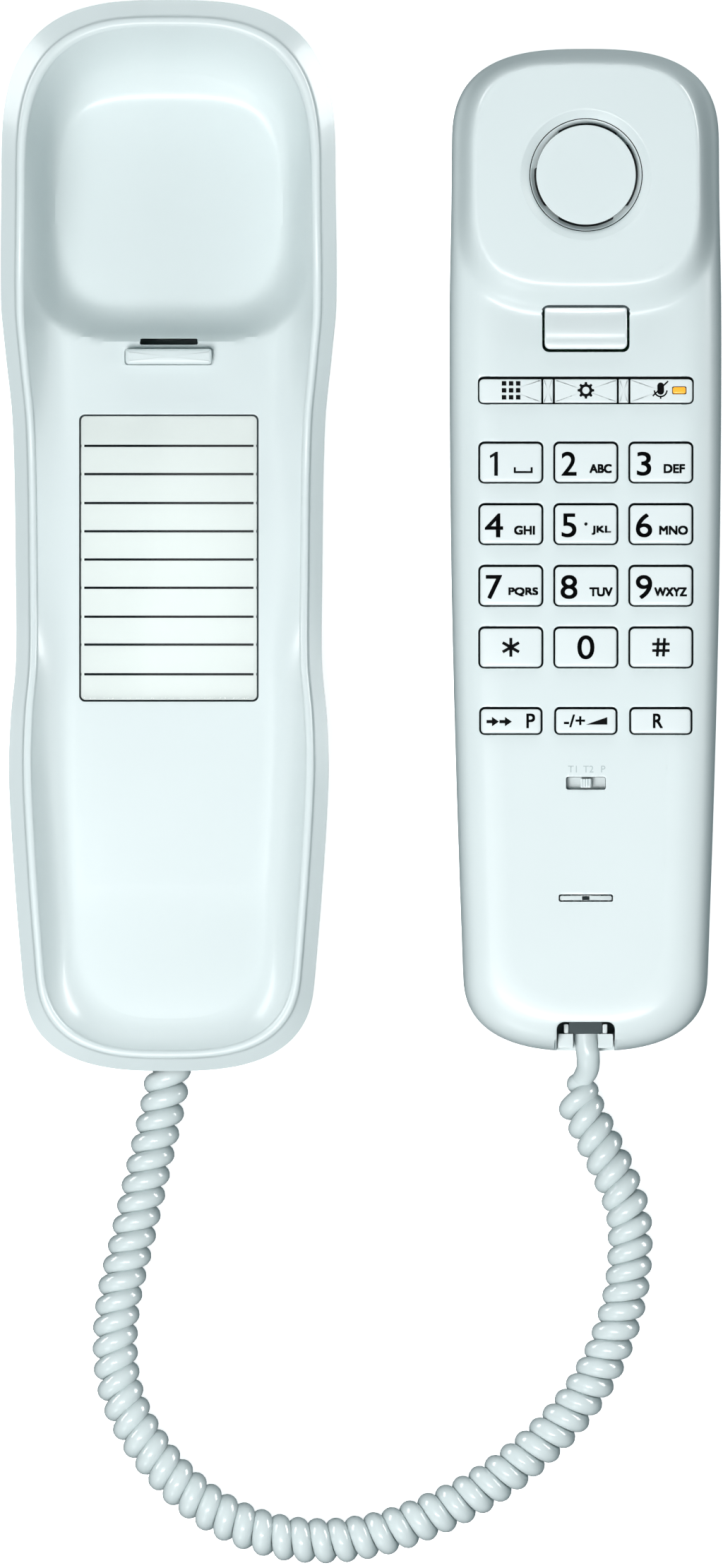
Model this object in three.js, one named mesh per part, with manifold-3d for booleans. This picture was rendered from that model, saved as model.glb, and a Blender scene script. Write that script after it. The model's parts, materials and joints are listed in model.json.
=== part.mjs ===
// Slimline wall phone: a cradle and its handset side by side, both lying on their backs, joined by a curly cord.
// Millimetres, +Z up, +Y towards the ear end. The origin is on the surface, midway between the two.
import * as THREE from 'three';
import { mergeVertices } from 'three/addons/utils/BufferGeometryUtils.js';
import Module from 'manifold-3d';

const wasm = await Module();
wasm.setup();

// ---------- driving dimensions ----------
const CRADLE_X = -38.76;
const HANDSET_X = 45.2;
const GAP = 0.3;

const WALL = 2.0;
const RIM_Z = 1.5;
const PLATE_TOP = 3.5;
const LIP_WIDTH = 4.9;
const TROUGH_Z = 16;
const WALL_RUN = 8;
const RECESS = { y: 65.2, halfWidth: 22.5, halfLength: 22.4, power: 3.6, floor: 9 };
const CARD = { y: -4.5, width: 36, length: 57.7, pocket: 2.3, tray: 2.2 };
const HOOK = { y: 36.05, width: 17.3, length: 3.1, rise: 2, tongue: 6 };
const HOOK_SLOT = { y: 39, width: 11.5, length: 1.2 };
const JACK_Z = { low: 3.8, high: 12 };
const LINE_JACK_X = -15.5;

const SPLIT_Z = 8;
const FACE_Z = 19.5;
const EDGE = { run: 10.4, power: 3 };
const BACK_EDGE = { run: 7, power: 2.4 };
const SKIN = 1.8;
const PLATEAU = { y: 72.5, halfWidth: 22.7, halfLength: 22.3, power: 3.6, rise: 4 };
const EAR = { hole: 11.4, chamfer: 13.1, disc: 10, depth: 1.1 };
const NOTCH = { width: 11.7, y: -97.9, floor: 6.5 };

const COLUMN = 15.1;
const ROW = 12.4;
const KEY_TOP = 20.3;
const KEY_FOOT = 15.6;
const KEY_GAP = 0.3;
const NUMBER_KEY = { y: 14.7, width: 12.95, length: 8.3, corner: 1.1 };
const STRIP = { y: 29.2, width: 43.3, length: 5.4, key: 12.9, corner: 1 };
const LOWER_KEY = { y: -37.3, width: 12.6, length: 5.45, corner: 1 };
const HOOK_KEY = { top: 46, width: 17.4, length: 9, corner: 1 };
const MAT = { low: 13.2, high: 14.4 };
const BOARD = { low: 11.3, high: 12.9 };
const LED = { x: 18.8, width: 2.7, length: 1.4 };
const SWITCH = { y: -49.85, width: 7.8, length: 2.4, knob: 2.2 };
const MIC = { y: -72.95, width: 10.75, length: 1.3, hole: 1.5 };

const COIL_RADIUS = 4.6;
const COIL_Z = 4.7;
const LEAD_RADIUS = 2.3;
const LEAD_Z = 10;

// ---------- materials ----------
const plastic = (color, roughness = 0.35) => new THREE.MeshStandardMaterial({ color, roughness, metalness: 0 });
const metal = (color) => new THREE.MeshStandardMaterial({ color, roughness: 0.4, metalness: 1 });
const WHITE = plastic(0xe4eeed);
const KEY_WHITE = plastic(0xe6efee, 0.3);
const RUBBER = plastic(0x3a3e40, 0.8);
const BLACK = plastic(0x1c1f20, 0.5);
const BOARD_GREEN = plastic(0x2f6b45, 0.6);
const CLEAR = new THREE.MeshStandardMaterial({ color: 0xf2f5f4, roughness: 0.05, transparent: true, opacity: 0.35 });
const PAPER = plastic(0xecebe4, 0.9);
const STEEL = metal(0xb8bcc0);
const AMBER = plastic(0xf5a623, 0.3);
const CORD = plastic(0xe6eeed, 0.3);

// ---------- numbers and outlines ----------
const clamp01 = (t) => Math.min(1, Math.max(0, t));
const smoothstep = (t) => clamp01(t) ** 2 * (3 - 2 * clamp01(t));
// A rounded edge's height, from 0 at the edge to 1 at the end of its run.
const rounded = (inset, { run, power }) => (1 - (1 - clamp01(inset / run)) ** power) ** (1 / power);

// A smooth curve value(y) through [y, value] knots listed from high y to low y.
function smoothThrough(knots) {
  const slope = knots.map((_, i) => {
    const a = knots[Math.max(0, i - 1)];
    const b = knots[Math.min(knots.length - 1, i + 1)];
    return (b[1] - a[1]) / (b[0] - a[0]);
  });
  return (y) => {
    let i = 0;
    while (i < knots.length - 2 && y < knots[i + 1][0]) i += 1;
    const step = knots[i + 1][0] - knots[i][0];
    const t = clamp01((y - knots[i][0]) / step);
    const h = [2 * t ** 3 - 3 * t ** 2 + 1, t ** 3 - 2 * t ** 2 + t, -2 * t ** 3 + 3 * t ** 2, t ** 3 - t ** 2];
    return h[0] * knots[i][1] + h[1] * step * slope[i] + h[2] * knots[i + 1][1] + h[3] * step * slope[i + 1];
  };
}

// A long outline, symmetric about x = 0: a smooth side curve closed by a superelliptic end at head and tail.
// With a lean, its inner rings sit further from the head than from the tail.
class Outline {
  constructor({ head, tail, sides, lean = 0 }) {
    this.head = head;
    this.tail = tail;
    this.lean = lean;
    this.side = smoothThrough(sides);
    this.middle = (head.y + tail.y) / 2;
    this.halfLength = (head.y - tail.y) / 2;
    this.widest = Math.max(...sides.map((knot) => knot[1]));
  }

  halfWidth(y) {
    const end = y > this.middle ? this.head : this.tail;
    const into = clamp01(1 - Math.abs(end.y - y) / end.depth);
    return this.side(y) * Math.max(0, 1 - into ** end.power) ** (1 / end.power);
  }

  // Rows from head to tail, closer together round the two ends. The two tips aren't rows.
  rows(headRows, sideRows, tailRows) {
    const rows = [];
    const tip = (end, k, count) => Math.cos((Math.PI / 2) * (k / count)) ** (2 / end.power) * end.depth;
    for (let k = 1; k <= headRows; k += 1) rows.push(this.head.y - this.head.depth + tip(this.head, k, headRows));
    const from = this.head.y - this.head.depth;
    const to = this.tail.y + this.tail.depth;
    for (let k = 1; k < sideRows; k += 1) rows.push(from + ((to - from) * k) / sideRows);
    for (let k = tailRows; k >= 1; k -= 1) rows.push(this.tail.y + this.tail.depth - tip(this.tail, k, tailRows));
    return rows;
  }

  // The ring at one inset, clockwise from the head tip, as [x, y].
  ring(rows, inset) {
    const across = 1 - inset / this.widest;
    const along = 1 - inset / this.halfLength;
    const at = (x, y) => [x * across, this.middle + (y - this.middle) * along - this.lean * inset];
    const right = rows.map((y) => at(this.halfWidth(y), y));
    const left = rows.map((y) => at(-this.halfWidth(y), y)).reverse();
    return [at(0, this.head.y), ...right, at(0, this.tail.y), ...left];
  }

  // How far a point is inside the outline, measured as ring() insets it.
  insetAt(x, y) {
    let low = 0;
    let high = this.widest;
    for (let k = 0; k < 24; k += 1) {
      const inset = (low + high) / 2;
      const unscaled = this.middle + (y + this.lean * inset - this.middle) / (1 - inset / this.halfLength);
      const width = this.halfWidth(Math.max(this.tail.y, Math.min(this.head.y, unscaled)));
      const outside = Math.abs(unscaled - this.middle) > this.halfLength;
      if (outside || Math.abs(x) > width * (1 - inset / this.widest)) high = inset;
      else low = inset;
    }
    return low;
  }
}

// ---------- closed skins ----------
// Rings from the first cap, which faces down, to the last cap, which faces up. A cap's rows cross from right to left.
function skinBody(outline, rows, rings, firstCap, lastCap) {
  const points = [];
  const faces = [];
  const add = (x, y, z) => points.push(x, y, z) / 3 - 1;
  const heightOf = (z, x, y) => (typeof z === 'function' ? z(x, y) : z);
  const placed = rings.map(({ inset, z }) =>
    outline.ring(rows, inset).map(([x, y]) => add(x, y, heightOf(z, x, y))));
  const face = (a, b, c, flip) => (flip ? faces.push(a, c, b) : faces.push(a, b, c));
  for (let r = 0; r + 1 < placed.length; r += 1) {
    const [a, b] = [placed[r], placed[r + 1]];
    a.forEach((_, i) => {
      const next = (i + 1) % a.length;
      face(a[i], b[i], a[next]);
      face(a[next], b[i], b[next]);
    });
  }
  const cap = (ring, { columns, z }, flip) => {
    const lines = rows.map((_, j) => {
      const [right, left] = [ring[j + 1], ring[ring.length - 1 - j]];
      const line = [right];
      for (let k = 1; k < columns; k += 1) {
        const x = THREE.MathUtils.lerp(points[right * 3], points[left * 3], k / columns);
        const y = points[right * 3 + 1];
        line.push(add(x, y, heightOf(z, x, y)));
      }
      return [...line, left];
    });
    const last = lines[lines.length - 1];
    for (let k = 0; k < columns; k += 1) {
      face(lines[0][k], ring[0], lines[0][k + 1], flip);
      face(last[k], last[k + 1], ring[rows.length + 1], flip);
      for (let j = 0; j + 1 < lines.length; j += 1) {
        face(lines[j][k], lines[j][k + 1], lines[j + 1][k + 1], flip);
        face(lines[j][k], lines[j + 1][k + 1], lines[j + 1][k], flip);
      }
    }
  };
  cap(placed[0], firstCap, true);
  cap(placed[placed.length - 1], lastCap, false);
  const geometry = new THREE.BufferGeometry();
  geometry.setAttribute('position', new THREE.Float32BufferAttribute(points, 3));
  geometry.setIndex(faces);
  return geometry;
}

// ---------- booleans ----------
function toSolid(geometry) {
  const bare = geometry.clone();
  bare.deleteAttribute('normal');
  bare.deleteAttribute('uv');
  const merged = mergeVertices(bare, 1e-4);
  const mesh = new wasm.Mesh({
    numProp: 3,
    vertProperties: new Float32Array(merged.attributes.position.array),
    triVerts: new Uint32Array(merged.index.array),
  });
  return new wasm.Manifold(mesh);
}

function toGeometry(solid) {
  const mesh = solid.getMesh();
  const geometry = new THREE.BufferGeometry();
  geometry.setAttribute('position', new THREE.BufferAttribute(new Float32Array(mesh.vertProperties), 3));
  geometry.setIndex(new THREE.BufferAttribute(new Uint32Array(mesh.triVerts), 1));
  return geometry;
}

function carve(geometry, { add = [], cut = [] }) {
  let solid = toSolid(geometry);
  for (const piece of add) solid = solid.add(toSolid(piece));
  for (const piece of cut) solid = solid.subtract(toSolid(piece));
  return toGeometry(solid);
}

// ---------- simple shapes ----------
function box(x, y, z, width, length, height) {
  return new THREE.BoxGeometry(width, length, height).translate(x, y, z + height / 2);
}

function disc(x, y, z, radius, height, sides = 24) {
  return new THREE.CylinderGeometry(radius, radius, height, sides).rotateX(Math.PI / 2).translate(x, y, z + height / 2);
}

function roundedShape(width, length, corner) {
  const shape = new THREE.Shape();
  const [w, l] = [width / 2, length / 2];
  shape.moveTo(w - corner, -l);
  shape.absarc(w - corner, corner - l, corner, -Math.PI / 2, 0);
  shape.absarc(w - corner, l - corner, corner, 0, Math.PI / 2);
  shape.absarc(corner - w, l - corner, corner, Math.PI / 2, Math.PI);
  shape.absarc(corner - w, corner - l, corner, Math.PI, 1.5 * Math.PI);
  return shape;
}

function roundedBlock(x, y, z, width, length, height, corner, hole) {
  const shape = roundedShape(width, length, corner);
  if (hole) shape.holes.push(hole);
  return new THREE.ExtrudeGeometry(shape, { depth: height, bevelEnabled: false, curveSegments: 1 }).translate(x, y, z);
}

function ringBlock(x, y, z, inner, outer, height, sides = 24) {
  const profile = [[inner, 0], [outer, 0], [outer, height], [inner, height], [inner, 0]];
  return new THREE.LatheGeometry(profile.map(([r, h]) => new THREE.Vector2(r, h)), sides)
    .rotateX(Math.PI / 2).translate(x, y, z);
}

// A screw post up to just under a sloping skin, whose outer face is height(x, y).
function post(x, y, z, radius, height) {
  const around = [[0, 0], [radius, 0], [-radius, 0], [0, radius], [0, -radius]];
  const lowest = Math.min(...around.map(([dx, dy]) => height(x + dx, y + dy)));
  return disc(x, y, z, radius, lowest - 1.1 - z, 12);
}

function screwGeometry(x, y, headZ, headRadius, headHeight, shankRadius, length) {
  const profile = [[0, 0], [headRadius, 0], [headRadius, headHeight], [shankRadius, headHeight],
    [shankRadius, length], [0, length]];
  return new THREE.LatheGeometry(profile.map(([r, h]) => new THREE.Vector2(r, h)), 8)
    .rotateX(Math.PI / 2).translate(x, y, headZ);
}

function tube(points, radius, sides, steps) {
  const section = new THREE.Shape();
  for (let k = 0; k < sides; k += 1) {
    const angle = (2 * Math.PI * k) / sides;
    section[k ? 'lineTo' : 'moveTo'](radius * Math.cos(angle), radius * Math.sin(angle));
  }
  const path = new THREE.CatmullRomCurve3(points.map((p) => new THREE.Vector3(...p)));
  return new THREE.ExtrudeGeometry(section, { steps, extrudePath: path, bevelEnabled: false });
}

// ---------- assembly ----------
const phone = new THREE.Group();
const cradle = new THREE.Group();
const handset = new THREE.Group();
cradle.position.x = CRADLE_X;
handset.position.x = HANDSET_X;
phone.add(cradle, handset);

function piece(group, name, geometry, material) {
  const mesh = new THREE.Mesh(geometry, material);
  mesh.name = name;
  geometry.computeVertexNormals();
  group.add(mesh);
}

// ---------- cradle ----------
const cradleOutline = new Outline({
  lean: 0.15,
  head: { y: 107.5, depth: 34.1, power: 3 },
  tail: { y: -107.8, depth: 18.5, power: 2.8 },
  sides: [[107.5, 33.6], [73.4, 33.6], [47.5, 33.8], [37, 32.9], [22.5, 31.5], [-10, 30.9], [-26, 30.9],
    [-37, 31.9], [-49, 32.2], [-70, 31], [-89.5, 29.4], [-107.8, 27.8]],
});
// The side walls dip at the waist, where fingers reach the handset.
const lipHeight = smoothThrough([[107.5, 34], [75, 33.6], [55, 31.5], [38, 26], [20, 20], [4, 18.5], [-14, 19],
  [-34, 22.6], [-52, 25], [-75, 25.4], [-107.8, 23.4]]);
const floorHeight = (y) => TROUGH_Z + 5 * smoothstep((-70 - y) / 32);

// How deep the ear recess is at a point, from 0 outside it to 1 on its floor. Its wall is widest at the head,
// and curves up from the floor to a crisp edge at the waist.
function recessDepth(x, y) {
  const [u, v] = [Math.abs(x) / RECESS.halfWidth, (y - RECESS.y) / RECESS.halfLength];
  const reach = (u ** RECESS.power + Math.abs(v) ** RECESS.power) ** (1 / RECESS.power);
  const rise = v / Math.hypot(u, v, 1e-9);
  const low = rise < 0 ? rise ** 2 : 0;
  const [start, stop] = [1 - 0.2 * low, 1.3 + (rise > 0 ? 0.32 : -0.16) * rise ** 2];
  const out = clamp01((reach - start) / (stop - start));
  return 1 - THREE.MathUtils.lerp(smoothstep(out), out ** 2, low);
}

function troughHeight(x, y) {
  const inside = cradleOutline.insetAt(x, y) - LIP_WIDTH;
  const wall = clamp01(1 - inside / WALL_RUN) ** 2.2;
  const open = THREE.MathUtils.lerp(floorHeight(y), lipHeight(y) - 1.2, wall);
  return THREE.MathUtils.lerp(open, RECESS.floor, recessDepth(x, y));
}

function cradleShell() {
  const rows = cradleOutline.rows(6, 20, 5);
  const below = (depth) => (x, y) => troughHeight(x, y) - depth;
  const lip = (drop) => (x, y) => lipHeight(y) - drop;
  const rings = [
    { inset: 13, z: below(WALL) },
    { inset: 9, z: below(WALL + 0.4) },
    { inset: 6.5, z: (x, y) => Math.min(lipHeight(y) - 6, troughHeight(x, y) - WALL - 1.5) },
    { inset: 2.8, z: 9 },
    { inset: WALL, z: 5 },
    { inset: WALL, z: RIM_Z },
    { inset: 0, z: RIM_Z },
    { inset: 0.3, z: lip(5) },
    { inset: 1, z: lip(3.4) },
    { inset: 3, z: lip(1.1) },
    { inset: 3.5, z: lip(0.2) },
    { inset: 4.3, z: lip(0.1) },
    { inset: LIP_WIDTH, z: troughHeight },
    { inset: 6.4, z: troughHeight },
    { inset: 8.4, z: troughHeight },
    { inset: 11.5, z: troughHeight },
  ];
  const body = skinBody(cradleOutline, rows, rings,
    { columns: 6, z: below(WALL) }, { columns: 10, z: troughHeight });
  const posts = screwPlaces.map(([x, y]) => post(x, y, PLATE_TOP + GAP, 2.8, troughHeight));
  const tray = box(0, CARD.y, TROUGH_Z - CARD.pocket - CARD.tray, CARD.width + 4, CARD.length + 4,
    CARD.tray + CARD.pocket - 1);
  const guide = box(0, HOOK.y, TROUGH_Z - 6, 16, 6, 5);
  return carve(body, {
    add: [...posts, tray, guide],
    cut: [
      ...screwPlaces.map(([x, y]) => disc(x, y, 0, 1.4, 12, 12)),
      roundedBlock(0, CARD.y, TROUGH_Z - CARD.pocket, CARD.width, CARD.length, 10, 1.1),
      box(0, HOOK_SLOT.y, 8, HOOK_SLOT.width, HOOK_SLOT.length, 20),
      box(0, HOOK.y, 8, 12, 2.2, 20),
      box(0, -104, 0, 11.4, 14, 12.3),
      box(LINE_JACK_X, -104, 0, 13, 14, 12.3),
    ],
  });
}

const screwPlaces = [[-19, 96], [19, 96], [-23, -80], [23, -80]];
const footPlaces = [[-22, 78], [22, 78], [-22, -62], [22, -62]];
const keyholePlaces = [50, -62];

function basePlate() {
  const rows = cradleOutline.rows(5, 10, 4);
  const inset = WALL + GAP;
  const plate = skinBody(cradleOutline, rows, [{ inset, z: RIM_Z }, { inset, z: PLATE_TOP }],
    { columns: 1 }, { columns: 1 });
  return carve(plate, {
    cut: [
      ...screwPlaces.map(([x, y]) => disc(x, y, 0, 1.5, 8, 12)),
      ...screwPlaces.map(([x, y]) => disc(x, y, 0, 2.8, 2.6, 12)),
      ...keyholePlaces.map((y) => disc(0, y, 0, 4.2, 8, 16)),
      ...keyholePlaces.map((y) => box(0, y + 5, 0, 4.6, 8, 8)),
      box(0, -104, 0, 11.4, 10, 8),
    ],
  });
}

function jack(x, y, width, socketWidth, socketDepth) {
  const length = 13;
  const height = JACK_Z.high - JACK_Z.low;
  const block = box(x, y + length / 2, JACK_Z.low, width, length, height);
  const socket = box(x, y - 1 + (socketDepth + 1) / 2, JACK_Z.low + 1, socketWidth, socketDepth + 1, height - 1.8);
  return carve(block, { cut: [socket] });
}

const cradleWhite = (name, geometry) => piece(cradle, name, geometry, WHITE);
cradleWhite('cradle_shell', cradleShell());
piece(cradle, 'cradle_base', basePlate(), WHITE);
piece(cradle, 'ballast_plate', roundedBlock(0, -12, PLATE_TOP + GAP, 40, 78, 3, 3), STEEL);
piece(cradle, 'jack_board', box(-4, -77, PLATE_TOP + GAP, 30, 10, 1.6), BOARD_GREEN);
piece(cradle, 'line_jack', jack(LINE_JACK_X, -98.5, 12, 10, 10), BLACK);
piece(cradle, 'cord_jack', jack(0, -98.5, 11, 8.4, 10), BLACK);
footPlaces.forEach(([x, y], i) => piece(cradle, `foot_${i + 1}`, disc(x, y, 0, 5, RIM_Z - GAP, 12), RUBBER));
screwPlaces.forEach(([x, y], i) =>
  piece(cradle, `cradle_screw_${i + 1}`, screwGeometry(x, y, RIM_Z + 0.1, 2.3, 0.8, 1, 9), STEEL));

function hookTab() {
  const head = roundedBlock(0, HOOK.y, TROUGH_Z + GAP, HOOK.width, HOOK.length, HOOK.rise, 0.6);
  return carve(head, { add: [box(0, HOOK.y, TROUGH_Z - HOOK.tongue, 11.4, 1.6, HOOK.tongue + 1)] });
}
cradleWhite('hook_tab', hookTab());
piece(cradle, 'index_card', box(0, CARD.y, TROUGH_Z - CARD.pocket + GAP, CARD.width - 1.2, CARD.length - 1.2, 0.3), PAPER);
piece(cradle, 'card_window', roundedBlock(0, CARD.y, TROUGH_Z - CARD.pocket + 0.9, CARD.width - 0.6,
  CARD.length - 0.6, CARD.pocket - 0.9, 1), CLEAR);

// ---------- handset ----------
const handsetOutline = new Outline({
  head: { y: 98.2, depth: 19.9, power: 2.8 },
  tail: { y: -103.9, depth: 15.6, power: 2.6 },
  sides: [[98.2, 26.9], [70, 27], [45, 27.4], [15, 27.3], [-15, 26.9], [-50, 26], [-85, 24.8], [-103.9, 24.1]],
});

// How much of a point is on the raised ear end, from 0 to 1.
function plateau(x, y) {
  const [u, v] = [Math.abs(x) / PLATEAU.halfWidth, (y - PLATEAU.y) / PLATEAU.halfLength];
  const reach = (u ** PLATEAU.power + Math.abs(v) ** PLATEAU.power) ** (1 / PLATEAU.power);
  const soft = v < 0 ? 0.16 + 0.14 * (v / Math.hypot(u, v)) ** 2 : 0.16;
  return 1 - smoothstep((reach - 0.98) / soft);
}

function faceHeight(x, y) {
  const inset = handsetOutline.insetAt(x, y);
  const side = (FACE_Z - SPLIT_Z - GAP) * rounded(inset, EDGE);
  return THREE.MathUtils.lerp(SPLIT_Z + GAP + side, FACE_Z + PLATEAU.rise, plateau(x, y) * smoothstep(inset / 1.6));
}

const keyColumns = [-COLUMN, 0, COLUMN];
const numberRows = [0, 1, 2, 3].map((row) => NUMBER_KEY.y - row * ROW);
const handsetScrews = [54, -81];

function handsetFront() {
  const rows = handsetOutline.rows(5, 17, 5);
  const under = (x, y) => faceHeight(x, y) - SKIN;
  const rings = [
    { inset: 4.6, z: under },
    { inset: 2.4, z: (x, y) => faceHeight(x, y) - 2 * SKIN },
    { inset: SKIN, z: SPLIT_Z + GAP },
    ...[0, 0.25, 0.9, 2.2, 4.4].map((inset) => ({ inset, z: faceHeight })),
  ];
  const body = skinBody(handsetOutline, rows, rings, { columns: 6, z: under }, { columns: 10, z: faceHeight });
  const top = FACE_Z + PLATEAU.rise;
  const posts = handsetScrews.map((y) => post(0, y, 2.5, 2.6, faceHeight));
  const window = (x, y, width, length, corner) => roundedBlock(x, y, 15, width, length, 10, corner);
  const ear = new THREE.CylinderGeometry(EAR.chamfer, EAR.hole, EAR.depth, 32).rotateX(Math.PI / 2)
    .translate(0, PLATEAU.y, top - EAR.depth / 2 + 0.001);
  const key = NUMBER_KEY;
  return carve(body, {
    add: posts,
    cut: [
      ...handsetScrews.map((y) => disc(0, y, 0, 1.2, 12, 12)),
      ...numberRows.flatMap((y) => keyColumns.map((x) => window(x, y, key.width, key.length, key.corner))),
      ...keyColumns.map((x) => window(x, LOWER_KEY.y, LOWER_KEY.width, LOWER_KEY.length, LOWER_KEY.corner)),
      window(0, STRIP.y, STRIP.width, STRIP.length, STRIP.corner),
      window(0, HOOK_KEY.top - HOOK_KEY.length / 2, HOOK_KEY.width, HOOK_KEY.length, HOOK_KEY.corner),
      ear,
      disc(0, PLATEAU.y, 12, EAR.hole, 20, 32),
      box(0, SWITCH.y, 12, SWITCH.width, SWITCH.length, 20),
      box(0, MIC.y, FACE_Z - 0.7, MIC.width, MIC.length, 5),
      box(0, MIC.y, 12, MIC.hole, MIC.length, 20),
      roundedBlock(0, NOTCH.y - 10, 0, NOTCH.width, 20, 40, 1),
    ],
  });
}

function handsetBack() {
  const rows = handsetOutline.rows(4, 8, 4);
  const rings = [
    ...[7, 3.4, 1.4, 0.3, 0].map((inset) => ({ inset, z: SPLIT_Z * (1 - rounded(inset, BACK_EDGE)) })),
    { inset: SKIN, z: SPLIT_Z },
    { inset: 2.4, z: 5 },
    { inset: 4.6, z: 2.8 },
    { inset: 7.5, z: 2 },
  ];
  const body = skinBody(handsetOutline, rows, rings, { columns: 1 }, { columns: 1 });
  return carve(body, {
    cut: [
      ...handsetScrews.map((y) => disc(0, y, -1, 1.3, 5, 12)),
      ...handsetScrews.map((y) => disc(0, y, -1, 2.8, 2.1, 12)),
      box(0, NOTCH.y - 5, NOTCH.floor, NOTCH.width, 10, 10),
    ],
  });
}

const earTop = FACE_Z + PLATEAU.rise;
const inHandset = (name, geometry, material = WHITE) => piece(handset, name, geometry, material);
inHandset('handset_front', handsetFront());
inHandset('handset_back', handsetBack());
inHandset('earpiece_cap', disc(0, PLATEAU.y, earTop - 1.6, EAR.disc, 1.2, 32));
inHandset('earpiece_ring', ringBlock(0, PLATEAU.y, earTop - 3.4, 8.6, EAR.hole - GAP, 1.5));
inHandset('receiver_capsule', disc(0, PLATEAU.y, earTop - 9.7, 13, 6), BLACK);
inHandset('main_board', box(0, -7.5, BOARD.low, 44, 109, BOARD.high - BOARD.low), BOARD_GREEN);
inHandset('keypad_mat', box(0, -4.5, MAT.low, 45, 75, MAT.high - MAT.low), RUBBER);
inHandset('hook_switch', box(0, 41, MAT.low, 7, 6, 2.2), BLACK);
inHandset('mode_switch', box(0, SWITCH.y, MAT.low, 9, 5, 2.6), BLACK);
inHandset('microphone', disc(0, MIC.y, 12.4, 2.9, 3.6, 12), STEEL);
inHandset('microphone_boot', ringBlock(0, MIC.y, 12.4, 2.9 + GAP, 4.6, 3.9, 12), RUBBER);
inHandset('ringer', disc(-12, -80, 2.8, 7, 4, 20), BLACK);
inHandset('message_led', box(LED.x, STRIP.y, MAT.high + GAP, LED.width, LED.length, KEY_TOP - MAT.high - GAP), AMBER);
handsetScrews.forEach((y, i) =>
  inHandset(`handset_screw_${i + 1}`, screwGeometry(0, y, 0.2, 2.3, 0.7, 0.9, 9), STEEL));

// Keys stand in their windows with an even gap all round.
function key(name, x, y, width, length, corner, hole) {
  const size = [width - 2 * KEY_GAP, length - 2 * KEY_GAP, KEY_TOP - KEY_FOOT];
  inHandset(name, roundedBlock(x, y, KEY_FOOT, ...size, corner, hole), KEY_WHITE);
}

const keyNames = ['1', '2', '3', '4', '5', '6', '7', '8', '9', 'star', '0', 'hash'];
keyNames.forEach((name, i) => {
  const [x, y] = [keyColumns[i % 3], numberRows[Math.floor(i / 3)]];
  key(`key_${name}`, x, y, NUMBER_KEY.width, NUMBER_KEY.length, NUMBER_KEY.corner - KEY_GAP);
});
['redial', 'volume', 'recall'].forEach((name, i) =>
  key(`key_${name}`, keyColumns[i], LOWER_KEY.y, LOWER_KEY.width, LOWER_KEY.length, LOWER_KEY.corner - KEY_GAP));

const stripKeyX = (STRIP.width - STRIP.key) / 2;
const spacerWidth = stripKeyX - STRIP.key;
const ledHole = new THREE.Path();
const [holeX, holeY] = [LED.width / 2 + 0.25, LED.length / 2 + 0.25];
const ledX = LED.x - stripKeyX;
ledHole.moveTo(ledX - holeX, -holeY);
ledHole.lineTo(ledX - holeX, holeY);
ledHole.lineTo(ledX + holeX, holeY);
ledHole.lineTo(ledX + holeX, -holeY);
key('key_menu', -stripKeyX, STRIP.y, STRIP.key, STRIP.length, STRIP.corner - KEY_GAP);
key('key_settings', 0, STRIP.y, STRIP.key, STRIP.length, STRIP.corner - KEY_GAP);
key('key_mute', stripKeyX, STRIP.y, STRIP.key, STRIP.length, STRIP.corner - KEY_GAP, ledHole);
['left', 'right'].forEach((side, i) => inHandset(`strip_spacer_${side}`,
  box((i ? 1 : -1) * (stripKeyX / 2), STRIP.y, MAT.high + GAP, spacerWidth, STRIP.length - 2 * KEY_GAP,
    KEY_TOP - 0.2 - MAT.high - GAP)));

inHandset('hook_key', roundedBlock(0, HOOK_KEY.top - HOOK_KEY.length / 2, KEY_FOOT + 1.2,
  HOOK_KEY.width - 0.8, HOOK_KEY.length - 0.8, KEY_TOP - KEY_FOOT - 0.9, 0.8), KEY_WHITE);
inHandset('mode_slider', box(0, SWITCH.y, MAT.low + 2.9, SWITCH.knob, SWITCH.length - 2 * GAP, 4), WHITE);

function strainRelief() {
  const height = 7.4;
  const block = box(0, -101.7, NOTCH.floor + GAP, NOTCH.width - 2 * GAP, 2.8, height);
  const groove = box(0, -101.7, LEAD_Z - LEAD_RADIUS - GAP, 2 * (LEAD_RADIUS + GAP), 10, 20);
  const ribs = [-3.9, 3.9].map((x) => box(x, -99.4, NOTCH.floor + GAP, 1, 2, height - 0.6));
  return carve(block, { add: ribs, cut: [groove] });
}
inHandset('strain_relief', strainRelief());

// ---------- curly cord ----------
const plug = (group, name, y, z, width) => piece(group, name, box(0, y, z, width, 10, 5.4), CLEAR);
const plugZ = COIL_Z - 0.4;
plug(cradle, 'cradle_plug', -94.4, plugZ + 0.6, 7.6);
plug(handset, 'handset_plug', -92.5, 6.9, 7.6);

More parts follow.
